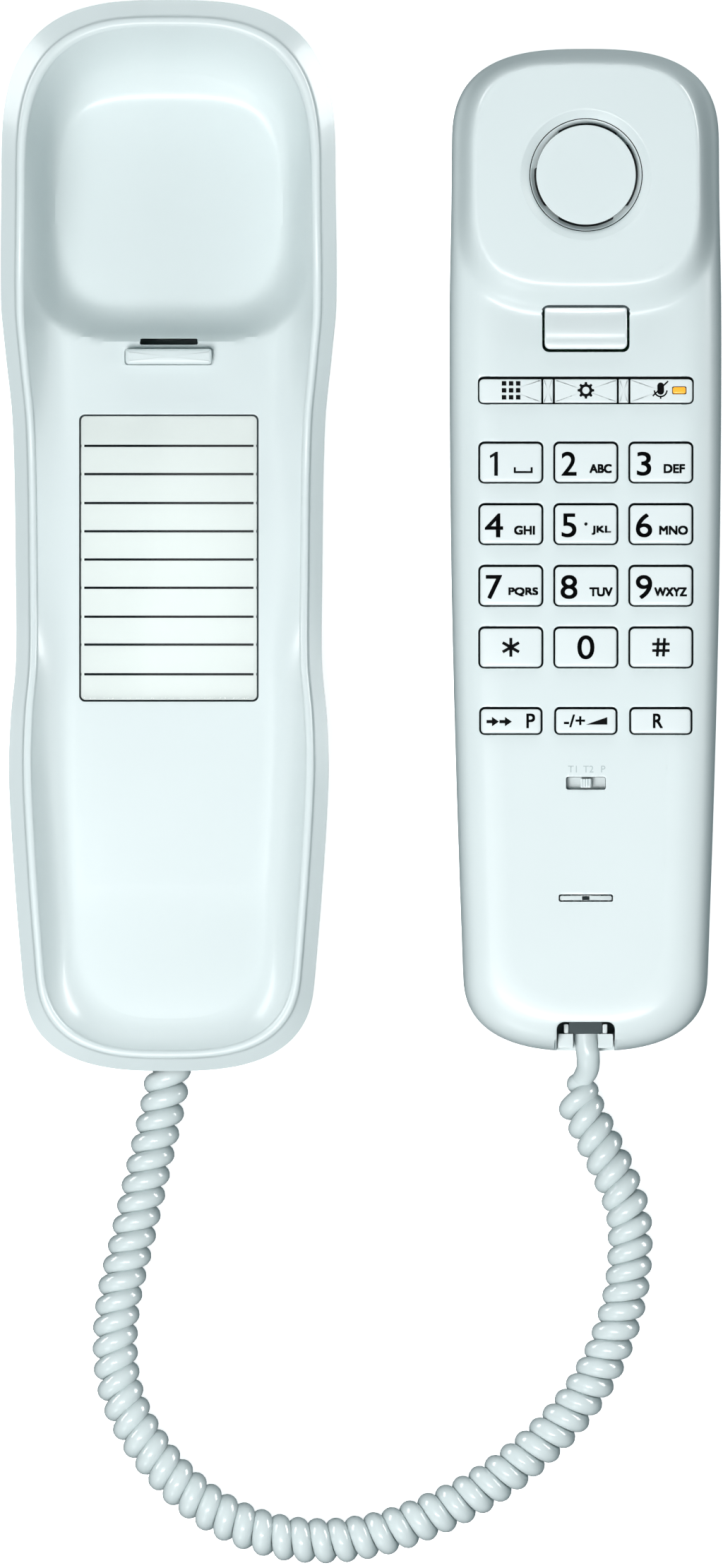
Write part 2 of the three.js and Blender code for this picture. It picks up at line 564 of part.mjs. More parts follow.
const cordPiece = (name, points, radius, sides, steps) =>
  piece(phone, name, tube(points, radius, sides, steps), CORD);
cordPiece('cradle_lead', [
  [CRADLE_X, -99.8, 7.3], [CRADLE_X, -100.8, 7.2], [CRADLE_X, -102.4, 5.7], [CRADLE_X, -103.6, 4.8],
  [CRADLE_X, -104.6, COIL_Z],
], 2.1, 10, 6);
cordPiece('coil_cord', [
  [CRADLE_X, -105, COIL_Z], [-39, -108, COIL_Z], [-39.9, -114, COIL_Z], [-42.4, -125, COIL_Z],
  [-46.5, -143, COIL_Z], [-48.8, -153, COIL_Z], [-49.7, -163, COIL_Z], [-48.7, -172, COIL_Z],
  [-45.2, -180.3, COIL_Z], [-40.4, -187.2, COIL_Z], [-34.4, -193.3, COIL_Z], [-27, -198.2, COIL_Z],
  [-17.5, -201.7, COIL_Z], [-7.1, -202.7, COIL_Z], [3.6, -201.3, COIL_Z], [14, -197.6, COIL_Z],
  [23.8, -192.6, COIL_Z], [33.4, -185.6, COIL_Z], [42.3, -176.7, COIL_Z], [48.8, -166.5, COIL_Z],
  [52.8, -155.2, COIL_Z], [54.2, -145, COIL_Z], [53.8, -136.5, COIL_Z], [51.2, -129, COIL_Z],
  [46.6, -119.5, COIL_Z], [43.6, -112.6, COIL_Z],
], COIL_RADIUS, 10, 36);
cordPiece('handset_lead', [
  [HANDSET_X, -97.9, LEAD_Z], [HANDSET_X, -101, LEAD_Z], [HANDSET_X + 0.4, -104.5, LEAD_Z - 0.3],
  [HANDSET_X, -107.4, LEAD_Z - 2.2], [HANDSET_X - 1.7, -109.9, LEAD_Z - 4.6],
  [HANDSET_X - 2.2, -111.1, COIL_Z + 0.1], [HANDSET_X - 1.75, -112.2, COIL_Z],
], LEAD_RADIUS, 10, 8);

export default phone;
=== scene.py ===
"""Slimline wall phone lying open: the cradle, the handset beside it and their curly cord.

Shapes are worked out in millimetres, each body round its own centre line, and made in metres."""

import json
import math

import bmesh
import bpy
import numpy as np
from mathutils.geometry import tessellate_polygon
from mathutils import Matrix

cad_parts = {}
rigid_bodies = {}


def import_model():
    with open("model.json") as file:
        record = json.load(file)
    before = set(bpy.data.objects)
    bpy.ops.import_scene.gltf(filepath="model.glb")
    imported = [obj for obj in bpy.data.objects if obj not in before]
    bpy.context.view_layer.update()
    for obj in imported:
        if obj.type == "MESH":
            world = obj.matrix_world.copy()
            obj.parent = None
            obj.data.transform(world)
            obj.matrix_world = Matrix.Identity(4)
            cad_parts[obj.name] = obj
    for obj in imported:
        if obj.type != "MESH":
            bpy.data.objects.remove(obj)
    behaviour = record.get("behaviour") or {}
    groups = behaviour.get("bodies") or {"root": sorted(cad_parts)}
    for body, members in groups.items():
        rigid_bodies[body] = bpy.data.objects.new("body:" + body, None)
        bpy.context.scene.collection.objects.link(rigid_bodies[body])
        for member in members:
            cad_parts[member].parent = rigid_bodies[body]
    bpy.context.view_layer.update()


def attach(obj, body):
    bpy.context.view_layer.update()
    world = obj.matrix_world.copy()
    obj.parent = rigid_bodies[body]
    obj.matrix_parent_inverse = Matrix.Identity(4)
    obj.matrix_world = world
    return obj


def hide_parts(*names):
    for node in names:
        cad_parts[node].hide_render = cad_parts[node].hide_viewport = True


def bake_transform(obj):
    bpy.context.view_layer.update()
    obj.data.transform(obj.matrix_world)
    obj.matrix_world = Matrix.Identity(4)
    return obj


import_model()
scene = bpy.context.scene
collection = scene.collection

MM = 0.001
CRADLE_X, HANDSET_X = -38.76, 45.2
COLUMN, ROW = 15.1, 12.4
FACE_Z, SPLIT_Z, GAP, WALL, SKIN = 19.5, 8.0, 0.3, 2.0, 1.8
TROUGH_Z, LIP_WIDTH, WALL_RUN, RIM_Z, PLATE_TOP = 16.0, 4.9, 8.0, 1.5, 3.5
PLATEAU_RISE = 4.0
EAR_Y, EAR_TOP = 72.5, FACE_Z + PLATEAU_RISE
NOTCH_WIDTH = 11.7
HOOK_TAB_Y, CARD_Y, CARD_Z = 36.05, -4.5, 14.0
LINE_JACK_X, JACK_Y, CORD_OPENING = -15.5, -104, 11.4
COIL_Z, COIL_HELIX, WIRE, LEAD = 4.7, 2.62, 1.98, 2.35
PRINT_LIFT = 0.02

# ---------- camera ----------
camera_data = bpy.data.cameras.new("camera")
camera_data.lens = 600
camera_data.sensor_width = 36
camera = bpy.data.objects.new("camera", camera_data)
camera.location = (0.00004, -0.05, 5.278)
collection.objects.link(camera)
scene.camera = camera


# ---------- numbers and curves ----------
def clamp01(t):
    return np.clip(t, 0, 1)


def smoothstep(t):
    t = clamp01(t)
    return t * t * (3 - 2 * t)


def mix(a, b, t):
    return a + (b - a) * t


def rounded(inset, run, power):
    """A rounded edge's height, from 0 at the edge to 1 at the end of its run."""
    return (1 - (1 - clamp01(inset / run)) ** power) ** (1 / power)


def smooth_through(knots):
    """A smooth curve value(y) through (y, value) knots."""
    y, value = np.array(sorted(knots), float).T
    index = np.arange(len(y))
    low, high = np.maximum(index - 1, 0), np.minimum(index + 1, len(y) - 1)
    slope = (value[high] - value[low]) / (y[high] - y[low])

    def at(where):
        i = np.clip(np.searchsorted(y, where, "right") - 1, 0, len(y) - 2)
        step = y[i + 1] - y[i]
        t = clamp01((where - y[i]) / step)
        start, end = 2 * t**3 - 3 * t**2 + 1, -2 * t**3 + 3 * t**2
        leave, arrive = t**3 - 2 * t**2 + t, t**3 - t**2
        return (
            start * value[i]
            + end * value[i + 1]
            + step * (leave * slope[i] + arrive * slope[i + 1])
        )

    return at


class Outline:
    """A long outline, symmetric about x = 0: side curves closed by a superelliptic head and tail,
    each (y, depth, power)."""

    def __init__(self, head, tail, sides, lean=0.0):
        self.head, self.tail, self.lean = head, tail, lean
        self.side = smooth_through(sides)
        self.middle = (head[0] + tail[0]) / 2
        self.half_length = (head[0] - tail[0]) / 2
        self.widest = max(width for _, width in sides)

    def half_width(self, y):
        y = np.asarray(y, float)
        ends = zip(self.head, self.tail)
        tip, depth, power = (np.where(y > self.middle, head, tail) for head, tail in ends)
        into = clamp01(1 - np.abs(tip - y) / depth)
        return self.side(y) * np.maximum(0, 1 - into**power) ** (1 / power)

    def rows(self, head_rows, side_rows, tail_rows):
        """Rows from head to tail, closer together round the ends. The tips aren't rows."""

        def tip(end, count):
            k = np.arange(1, count + 1) / count
            return np.cos(math.pi / 2 * k) ** (2 / end[2]) * end[1]

        start, stop = self.head[0] - self.head[1], self.tail[0] + self.tail[1]
        sides = np.linspace(start, stop, side_rows + 1)[1:-1]
        head, tail = tip(self.head, head_rows), tip(self.tail, tail_rows)[::-1]
        return np.concatenate([start + head, sides, stop - tail])

    def ring(self, rows, inset):
        """The ring at one inset, clockwise from the head tip."""
        width = self.half_width(rows)
        x = np.concatenate([[0], width, [0], -width[::-1]])
        y = np.concatenate([[self.head[0]], rows, [self.tail[0]], rows[::-1]])
        along = 1 - inset / self.half_length
        y = self.middle + (y - self.middle) * along - self.lean * inset
        return np.stack([x * (1 - inset / self.widest), y], 1)

    def inset_at(self, x, y):
        """How far points are inside the outline, measured as ring() insets it."""
        x, y = np.broadcast_arrays(np.asarray(x, float), np.asarray(y, float))
        low, high = np.zeros(x.shape), np.full(x.shape, self.widest)
        for _ in range(26):
            inset = (low + high) / 2
            along = 1 - inset / self.half_length
            plain = self.middle + (y + self.lean * inset - self.middle) / along
            width = self.half_width(np.clip(plain, self.tail[0], self.head[0]))
            beyond = np.abs(plain - self.middle) > self.half_length
            outside = beyond | (np.abs(x) > width * (1 - inset / self.widest))
            high, low = np.where(outside, inset, high), np.where(outside, low, inset)
        return low


# ---------- materials ----------
NOISE_SPAN = (0.3, 0.7)  # most of a noise texture's values lie between these


def nodes_of(name):
    material = bpy.data.materials.new(name)
    material.use_nodes = True
    tree = material.node_tree
    shader = tree.nodes["Principled BSDF"]
    coordinates = tree.nodes.new("ShaderNodeTexCoord")
    return material, tree, shader, coordinates


def noise(tree, coordinates, scale, detail=2.0):
    node = tree.nodes.new("ShaderNodeTexNoise")
    node.inputs["Scale"].default_value = scale
    node.inputs["Detail"].default_value = detail
    tree.links.new(coordinates.outputs["Object"], node.inputs["Vector"])
    return node.outputs["Fac"]


def tinted(tree, factor, dark, light):
    """A colour that drifts between two close tones."""
    ramp = tree.nodes.new("ShaderNodeValToRGB")
    for stop, position, colour in zip(ramp.color_ramp.elements, NOISE_SPAN, (dark, light)):
        stop.position, stop.color = position, (*colour, 1)
    tree.links.new(factor, ramp.inputs["Fac"])
    return ramp.outputs["Color"]


def ranged(tree, factor, low, high):
    node = tree.nodes.new("ShaderNodeMapRange")
    for end, source, value in zip(("Min", "Max"), NOISE_SPAN, (low, high)):
        node.inputs["From " + end].default_value = source
        node.inputs["To " + end].default_value = value
    tree.links.new(factor, node.inputs["Value"])
    return node.outputs["Result"]


def bumped(tree, shader, height, strength, distance):
    node = tree.nodes.new("ShaderNodeBump")
    node.inputs["Strength"].default_value = strength
    node.inputs["Distance"].default_value = distance
    tree.links.new(height, node.inputs["Height"])
    tree.links.new(node.outputs["Normal"], shader.inputs["Normal"])


def moulded(name, colour, roughness, grain=2600, depth=0.05, drift=0.02, **sockets):
    """A moulded plastic, rubber or coating: a drifting tone and gloss, and a fine grain."""
    material, tree, shader, coordinates = nodes_of(name)
    broad = noise(tree, coordinates, 22)
    dark = [c * (1 - drift) for c in colour]
    tree.links.new(tinted(tree, broad, dark, colour), shader.inputs["Base Color"])
    fine = noise(tree, coordinates, 60)
    gloss = ranged(tree, fine, roughness * 0.92, roughness * 1.08)
    tree.links.new(gloss, shader.inputs["Roughness"])
    bumped(tree, shader, noise(tree, coordinates, grain, 3), depth, 0.00005)
    for socket, value in sockets.items():
        shader.inputs[socket.replace("_", " ")].default_value = value
    return material


def brushed(name, colour, roughness):
    """Bare metal with a fine brushed grain."""
    material, tree, shader, coordinates = nodes_of(name)
    stretch = tree.nodes.new("ShaderNodeMapping")
    stretch.inputs["Scale"].default_value = (400, 6000, 6000)
    tree.links.new(coordinates.outputs["Object"], stretch.inputs["Vector"])
    grain = tree.nodes.new("ShaderNodeTexNoise")
    tree.links.new(stretch.outputs["Vector"], grain.inputs["Vector"])
    dark = [c * 0.85 for c in colour]
    fine = grain.outputs["Fac"]
    tree.links.new(tinted(tree, fine, dark, colour), shader.inputs["Base Color"])
    gloss = ranged(tree, fine, roughness * 0.8, roughness * 1.2)
    tree.links.new(gloss, shader.inputs["Roughness"])
    bumped(tree, shader, fine, 0.1, 0.00003)
    shader.inputs["Metallic"].default_value = 1
    return material


def circuit(name):
    """A green circuit board with faint copper tracks under its lacquer."""
    material, tree, shader, coordinates = nodes_of(name)
    tracks = tree.nodes.new("ShaderNodeTexBrick")
    tracks.inputs["Scale"].default_value = 120
    tracks.inputs["Mortar Size"].default_value = 0.03
    tracks.inputs["Color1"].default_value = (0.02, 0.13, 0.06, 1)
    tracks.inputs["Color2"].default_value = (0.025, 0.15, 0.07, 1)
    tracks.inputs["Mortar"].default_value = (0.07, 0.3, 0.13, 1)
    tree.links.new(coordinates.outputs["Object"], tracks.inputs["Vector"])
    tree.links.new(tracks.outputs["Color"], shader.inputs["Base Color"])
    bumped(tree, shader, tracks.outputs["Fac"], 0.2, 0.00004)
    gloss = ranged(tree, noise(tree, coordinates, 300), 0.3, 0.42)
    tree.links.new(gloss, shader.inputs["Roughness"])
    return material


def glow(material, colour):
    """Sets what colour a material gives off."""
    shader = material.node_tree.nodes["Principled BSDF"]
    shader.inputs["Emission Color"].default_value = (*colour, 1)


WHITE = moulded("housing_plastic", (0.665, 0.73, 0.735), 0.32, Coat_Weight=0.1)
KEY_WHITE = moulded("key_plastic", (0.725, 0.78, 0.785), 0.24, Coat_Weight=0.2)
# A near-black tone for the walls of cut windows, slots and holes and for the notch plate: painted
# shade, drawn where those walls lie in shadow.
SHADE_LINING = moulded("painted_shade_lining", (0.045, 0.062, 0.067), 0.6)
# A grey for the switch labels: painted shade standing in for the light and shade on labels embossed
# in the white housing.
EMBOSS_SHADE = moulded("painted_emboss_shade", (0.42, 0.49, 0.5), 0.5)
# Black print for the legends and the card's ruling; the same black on key 5's bump is painted
# shade.
INK_AND_DOT_SHADE = moulded("legend_ink_and_dot_shade", (0.003, 0.0035, 0.004), 0.8, Specular_IOR_Level=0.1)
RUBBER = moulded("silicone_rubber", (0.035, 0.042, 0.045), 0.75, grain=1500)
BLACK = moulded("black_plastic", (0.012, 0.014, 0.015), 0.42)
PAPER = moulded("card_paper", (0.68, 0.72, 0.706), 0.85, grain=1800, depth=0.2)
AMBER = moulded("amber_lens", (1.0, 0.42, 0.03), 0.22, Emission_Strength=0.22, Coat_Weight=0.5)
glow(AMBER, (1.0, 0.5, 0.06))
CORD = moulded("cord_plastic", (0.62, 0.685, 0.69), 0.22, drift=0.01, Coat_Weight=0.35)
CLEAR_OPTICS = {"Transmission_Weight": 1.0, "IOR": 1.46}
CLEAR = moulded("clear_acrylic", (0.96, 0.98, 0.975), 0.03, depth=0, drift=0.005, **CLEAR_OPTICS)
STEEL = brushed("zinc_plated_steel", (0.56, 0.57, 0.58), 0.36)
BOARD = circuit("circuit_board")


# ---------- meshes ----------
def smooth_mesh(mesh, angle=32):
    solid = bmesh.new()
    solid.from_mesh(mesh)
    bmesh.ops.remove_doubles(solid, verts=solid.verts, dist=1e-7)
    bmesh.ops.recalc_face_normals(solid, faces=solid.faces)
    solid.to_mesh(mesh)
    solid.free()
    mesh.shade_smooth()
    mesh.set_sharp_from_angle(angle=math.radians(angle))


def mesh_object(name, shape, material, offset=0.0):
    """An object from (points in millimetres, faces), moved along x by offset."""
    points, faces = shape
    mesh = bpy.data.meshes.new(name)
    mesh.from_pydata((np.asarray(points) + (offset, 0, 0)) * MM, [], faces)
    obj = bpy.data.objects.new(name, mesh)
    collection.objects.link(obj)
    mesh.materials.append(material)
    smooth_mesh(mesh)
    return obj


def weighted(obj):
    modifier = obj.modifiers.new("weighted_normals", "WEIGHTED_NORMAL")
    modifier.keep_sharp = True
    return obj


def place(obj, body, slot, *nodes):
    """obj rides on its body and stands for the CAD nodes, which it hides. slot is not used."""
    weighted(obj)
    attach(obj, body)
    if nodes:
        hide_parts(*nodes)
    return obj


def joined(shapes):
    """Several (points, faces) shapes as one."""
    points, faces, count = [], [], 0
    for shape_points, shape_faces in shapes:
        points.append(np.asarray(shape_points, float))
        faces += [[i + count for i in face] for face in shape_faces]
        count += len(shape_points)
    return np.concatenate(points), faces


def band(lower, upper, count):
    """Faces between two rings of count points that start at those indices."""
    i = np.arange(count)
    j = (i + 1) % count
    return np.stack([lower + i, lower + j, upper + j, upper + i], 1).tolist()


def stack(rings):
    """A closed solid through rings of points, closed by a fan at each end."""
    count = len(rings[0])
    ends = [rings[0].mean(0), rings[-1].mean(0)]
    faces = []
    for k in range(len(rings) - 1):
        faces += band(k * count, (k + 1) * count, count)
    last = (len(rings) - 1) * count
    centre = len(rings) * count
    for i in range(count):
        j = (i + 1) % count
        faces += [[j, i, centre], [last + i, last + j, centre + 1]]
    return np.concatenate([*rings, ends]), faces


def at_height(points, z):
    return np.column_stack([points, np.broadcast_to(z, len(points))])


def rounded_rectangle(width, length, corner, turn=6, along=8):
    """Points round a rounded rectangle anticlockwise from its right side, and the way out at each.
    corner is one radius, or four from the upper right anticlockwise."""
    signs = np.array([(1, 1), (-1, 1), (-1, -1), (1, -1)])
    radii = np.broadcast_to(corner, 4)
    centres = signs * (np.array([width, length]) / 2 - radii[:, None])
    points, out = [], []
    for quarter in range(4):
        for k in range(turn + 1):
            angle = math.pi / 2 * (quarter + k / turn)
            way = np.array([math.cos(angle), math.sin(angle)])
            points.append(centres[quarter] + radii[quarter] * way)
            out.append(way)
        following = (quarter + 1) % 4
        start, stop = points[-1], centres[following] + radii[following] * way
        for k in range(1, along):
            points.append(mix(start, stop, k / along))
            out.append(way)
    return np.array(points), np.array(out)


def circle(radius, count=96):
    angle = 2 * math.pi * np.arange(count) / count
    out = np.stack([np.cos(angle), np.sin(angle)], 1)
    return out * radius, out


def surface_cutter(flat, x, y, low, surface, fillet=0.3):
    """A hole's cutter: straight up from low, then out over a rim that follows the surface."""
    points, out = flat
    points = points + (x, y)
    rings = [at_height(points, low)]
    for angle in np.radians([0, 20, 40, 56, 70]):
        where = points + out * fillet * (1 - math.cos(angle))
        z = surface(*where.T) - fillet * (1 - math.sin(angle))
        rings.append(np.column_stack([where, z]))
    where = where + out * 0.3 * math.sin(math.radians(70))
    rings.append(np.column_stack([where, z + 0.3 * math.cos(math.radians(70))]))
    rings.append(at_height(where, z.max() + 6))
    return stack(rings)


def block(x, y, low, high, width, length, corner=0.4, edge=0.0, turn=4):
    """A rounded block whose top and bottom edges are eased by edge."""
    points, out = rounded_rectangle(width, length, corner, turn, 2)
    points = points + (x, y)
    if not edge:
        return stack([at_height(points, low), at_height(points, high)])
    steps = [(1 - math.sin(a), 1 - math.cos(a)) for a in np.radians([0, 30, 60, 90])]
    rings = [at_height(points - out * edge * s, low + edge * c) for s, c in steps]
    rings += [at_height(points - out * edge * c, high - edge * s) for s, c in steps]
    return stack(rings)


def loop_of(rings):
    """A closed ring through rings of points, the last joined to the first."""
    count, faces = len(rings[0]), []
    for k in range(len(rings)):
        faces += band(k * count, (k + 1) % len(rings) * count, count)
    return np.concatenate(rings), faces


def lathe(profile, x, y, count=96):
    """A closed ring from an (r, z) loop of points that don't touch the axis."""
    return loop_of([at_height(circle(r, count)[0] + (x, y), z) for r, z in profile])


def turned(profile, x, y, count=48):
    """A solid turned round a vertical axis, from (r, z) points listed from bottom to top."""
    return stack([at_height(circle(r, count)[0] + (x, y), z) for r, z in profile])


def carve(obj, offset, shapes, cut_shade=None):
    """Cuts shapes that don't touch each other out of obj. The last argument, where given, is the
    cut faces' material, a painted shade drawn on the walls of the cut.
    """
    points, faces = joined(shapes)
    mesh = bpy.data.meshes.new("cutter")
    mesh.from_pydata((points + (offset, 0, 0)) * MM, [], faces)
    mesh.materials.append(cut_shade or obj.data.materials[0])
    smooth_mesh(mesh)
    cutter = bpy.data.objects.new("cutter", mesh)
    collection.objects.link(cutter)
    modifier = obj.modifiers.new("carve", "BOOLEAN")
    modifier.object, modifier.solver, modifier.operation = cutter, "EXACT", "DIFFERENCE"
    modifier.material_mode = "TRANSFER"
    graph = bpy.context.evaluated_depsgraph_get()
    carved = bpy.data.meshes.new_from_object(obj.evaluated_get(graph))
    obj.modifiers.clear()
    obj.data = carved
    bpy.data.objects.remove(cutter)
    smooth_mesh(carved)
    return obj


def piece(name, shape, material, body, slot, *nodes, cuts=(), cut_shade=None):
    """A placed object, drawn round the centre line of its body's half of the phone. cuts are
    groups of shapes that are carved out one after another."""
    offset = CRADLE_X if body in ("cradle", "hook_tab", "card_window") else HANDSET_X
    obj = mesh_object(name, shape, material, offset)
    for shapes in cuts:
        carve(obj, offset, shapes, cut_shade)
    return place(obj, body, slot, *nodes)


def skin(outline, rows, rings, bottom, top):
    """A closed body through an outline's rings. Its caps are each (columns, height)."""

    def height(z, xy):
        return z(*xy.T) if callable(z) else np.full(len(xy), float(z))

    placed = [outline.ring(rows, inset) for inset, _ in rings]
    points = [np.column_stack([xy, height(z, xy)]) for xy, (_, z) in zip(placed, rings)]
    count, total = len(placed[0]), len(placed[0]) * len(rings)
    faces = []
    for k in range(len(rings) - 1):
        faces += band(k * count, (k + 1) * count, count)
    lines = len(rows)
    caps = ((0, placed[0], bottom), (total - count, placed[-1], top))
    for start, xy, (columns, z) in caps:
        right, left = xy[1 : lines + 1], xy[count - 1 : lines + 1 : -1]
        share = np.arange(1, columns)[None, :, None] / columns
        inner = mix(right[:, None], left[:, None], share).reshape(-1, 2)
        grid = np.empty((lines, columns + 1), int)
        grid[:, 0] = start + 1 + np.arange(lines)
        grid[:, -1] = start + count - 1 - np.arange(lines)
        grid[:, 1:-1] = total + np.arange(len(inner)).reshape(lines, columns - 1)
        points.append(np.column_stack([inner, height(z, inner)]))
        total += len(inner)
        corners = [grid[:-1, :-1], grid[:-1, 1:], grid[1:, 1:], grid[1:, :-1]]
        faces += np.stack(corners, -1).reshape(-1, 4).tolist()
        for k in range(columns):
            faces.append([start, grid[0, k + 1], grid[0, k]])
            faces.append([start + lines + 1, grid[-1, k], grid[-1, k + 1]])
    return np.concatenate(points), faces


def tube(path, radius, sides=20):
    """A tube along a path, without twist, closed at both ends. radius may be one for each point."""
    path = np.asarray(path, float)
    tangent = np.gradient(path, axis=0)
    tangent /= np.linalg.norm(tangent, axis=1)[:, None]
    side = np.cross(tangent[0], (0, 0, 1))
    if np.linalg.norm(side) < 0.1:
        side = np.cross(tangent[0], (0, 1, 0))
    angle = 2 * math.pi * np.arange(sides) / sides
    rings = []
    for centre, way, r in zip(path, tangent, np.broadcast_to(radius, len(path))):
        side = side - way * (side @ way)
        side /= np.linalg.norm(side)
        other = np.cross(way, side)
        spoke = np.cos(angle)[:, None] * side + np.sin(angle)[:, None] * other
        rings.append(centre + r * spoke)
    return stack(rings)


def smooth_path(points, step=0.25):
    """Points close together along a centripetal curve through the given points."""
    points = np.array(points, float)
    before, after = 2 * points[0] - points[1], 2 * points[-1] - points[-2]
    points = np.concatenate([[before], points, [after]])
    out = []
    for a, b, c, d in zip(points, points[1:], points[2:], points[3:]):
        knot = np.cumsum([0, *(np.linalg.norm(q - p) ** 0.5 for p, q in ((a, b), (b, c), (c, d)))])
        count = max(2, int(np.linalg.norm(c - b) / step))
        t = np.linspace(knot[1], knot[2], count, endpoint=False)[:, None]

        def blend(p, q, i, j):
            span = knot[j] - knot[i]
            return (knot[j] - t) / span * p + (t - knot[i]) / span * q

        first, second, third = blend(a, b, 0, 1), blend(b, c, 1, 2), blend(c, d, 2, 3)
        out.append(blend(blend(first, second, 0, 2), blend(second, third, 1, 3), 1, 2))
    return np.concatenate([*out, [points[-2]]])


def travelled(path):
    steps = np.linalg.norm(np.diff(path, axis=0), axis=1)
    return np.concatenate([[0], np.cumsum(steps)])


# ---------- curly cord ----------
coil_axis = [
    (CRADLE_X, -105), (-39, -108), (-39.9, -114), (-42.4, -125), (-46.5, -143), (-48.8, -153),
    (-49.7, -163), (-48.7, -172), (-45.2, -180.3), (-40.4, -187.2), (-34.4, -193.3), (-27, -198.2),
    (-17.5, -201.7), (-7.1, -202.7), (3.6, -201.3), (14, -197.6), (23.8, -192.6), (33.4, -185.6),
    (42.3, -176.7), (48.8, -166.5), (52.8, -155.2), (54.2, -145), (53.8, -136.5), (51.2, -129),
    (46.6, -119.5), (43.6, -112.6),
]
cradle_lead = [(CRADLE_X, -99.4, 7.3), (CRADLE_X, -101, 7.1), (CRADLE_X, -103.2, 5.6)]
handset_lead = [
    (HANDSET_X - 1.2, -110.6, 5.2), (HANDSET_X + 0.4, -107.6, 7.6), (HANDSET_X + 0.5, -104.5, 9.7),
    (HANDSET_X, -101, 10), (HANDSET_X, -97.6, 10),
]


def cord_path():
    """The wire's centre line: out of the cradle, round the coil's own line, into the handset."""
    coil = [(x, y, COIL_Z) for x, y in coil_axis]
    line = smooth_path([*cradle_lead, *coil, *handset_lead])
    far = travelled(line)
    start = far[np.argmin(np.linalg.norm(line - coil[0], axis=1))]
    stop = far[np.argmin(np.linalg.norm(line - coil[-1], axis=1))]
    length = stop - start
    # The pitch is a little open at both ends and closest round the bottom of the loop.
    pitch = np.interp((far - start) / length, [0, 0.3, 0.6, 1], [4.3, 4.0, 4.05, 4.15])
    turn_rate = 1 / pitch
    gained = (turn_rate[1:] + turn_rate[:-1]) / 2 * np.diff(far)
    turns = np.concatenate([[0], np.cumsum(gained)])
    turns -= np.interp(start, far, turns)
    last = np.interp(stop, far, turns)
    fine = np.linspace(turns[0], turns[-1], int(26 * (turns[-1] - turns[0])))
    where = np.interp(fine, turns, far)
    centre = np.stack([np.interp(where, far, line[:, k]) for k in range(3)], 1)
    way = np.gradient(centre, axis=0)
    way /= np.linalg.norm(way, axis=1)[:, None]
    up = np.array([0, 0, 1]) - way * way[:, 2:]
    up /= np.linalg.norm(up, axis=1)[:, None]
    across = np.cross(way, up)
    reach = COIL_HELIX * smoothstep(fine / 0.45) * smoothstep((last + 0.8 - fine) / 0.9)
    angle = 2 * math.pi * (fine - last) + math.radians(60)
    # The turns lean over where the coil hangs straight, and stand up round the bottom of the loop.
    leans = [(0, 0.24), (0.25, 0.2), (0.42, -0.04), (0.6, -0.04), (0.8, 0.1), (1, 0.2)]
    lean = np.interp(fine / last, *zip(*leans))
    side, rise = reach * np.sin(angle), reach * np.cos(angle)
    return centre + rise[:, None] * up + side[:, None] * across + (lean * side)[:, None] * way


wire_path = cord_path()
wire_far = travelled(wire_path)
wire_radius = mix(LEAD, WIRE, smoothstep((wire_far[-1] - wire_far - 9) / 7))
cord = mesh_object("curly_cord", tube(wire_path, wire_radius, 18), CORD)
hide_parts("coil_cord", "cradle_lead", "handset_lead")


def plug(name, x, y, low, body):
    """A clear modular plug with its latch and its contacts."""
    latch = block(x, y + 1.2, low - 0.9, low - 0.1, 3.2, 7.0, 0.3)
    shell = joined([block(x, y - 0.6, low, low + 5.4, 7.6, 8.8, 0.5, 0.25), latch])
    made = place(mesh_object(name + "_shell", shell, CLEAR), body, "clear_plastic", name)
    across = [x + dx for dx in (-1.9, -0.65, 0.65, 1.9)]
    contacts = [block(cx, y + 3.4, low + 4.6, low + 5.35, 0.5, 1.6, 0.1) for cx in across]
    place(mesh_object(name + "_contacts", joined(contacts), STEEL), body, "steel")
    return made


cradle_plug = plug("cradle_plug", CRADLE_X, -94.4, 4.9, "cradle")
handset_plug = plug("handset_plug", HANDSET_X, -92.5, 6.9, "handset")
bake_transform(cord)

# ---------- floor, world and lights ----------
FLOOR_LOOK = {"drift": 0.004, "depth": 0.0, "Emission_Strength": 0.8}
PALE = moulded("studio_floor", (0.93, 0.94, 0.94), 0.9, **FLOOR_LOOK)
glow(PALE, (1, 1, 1))
FLOOR_REACH, FLOOR_Z = 6e3, -0.2
corners = [(-1, -1), (1, -1), (1, 1), (-1, 1)]
corners = [(x * FLOOR_REACH, y * FLOOR_REACH, FLOOR_Z) for x, y in corners]
floor = mesh_object("floor", (corners, [[0, 1, 2, 3]]), PALE)
floor.visible_diffuse = floor.visible_glossy = False

world = bpy.data.worlds.new("studio")
scene.world = world
world.use_nodes = True
background = world.node_tree.nodes["Background"].inputs
background["Color"].default_value, background["Strength"].default_value = (0.4, 0.66, 0.72, 1), 0.18
scene.view_settings.view_transform = "Standard"


def lamp(name, where, width, length, power, gloss=True, diffuse=True):
    """A soft panel that faces the phone. Some only light it, others only show as gloss."""
    data = bpy.data.lights.new(name, "AREA")
    data.shape, data.size, data.size_y = "RECTANGLE", width, length
    data.energy = power
    obj = bpy.data.objects.new(name, data)
    obj.location = where
    way = np.array((0, -0.05, 0)) - np.array(where)
    tilt = math.atan2(math.hypot(way[0], way[1]), -way[2])
    obj.rotation_euler = (tilt, 0, math.atan2(way[1], way[0]) - math.pi / 2)
    obj.visible_camera = obj.visible_transmission = False
    obj.visible_glossy, obj.visible_diffuse = gloss, diffuse
    collection.objects.link(obj)
    return obj


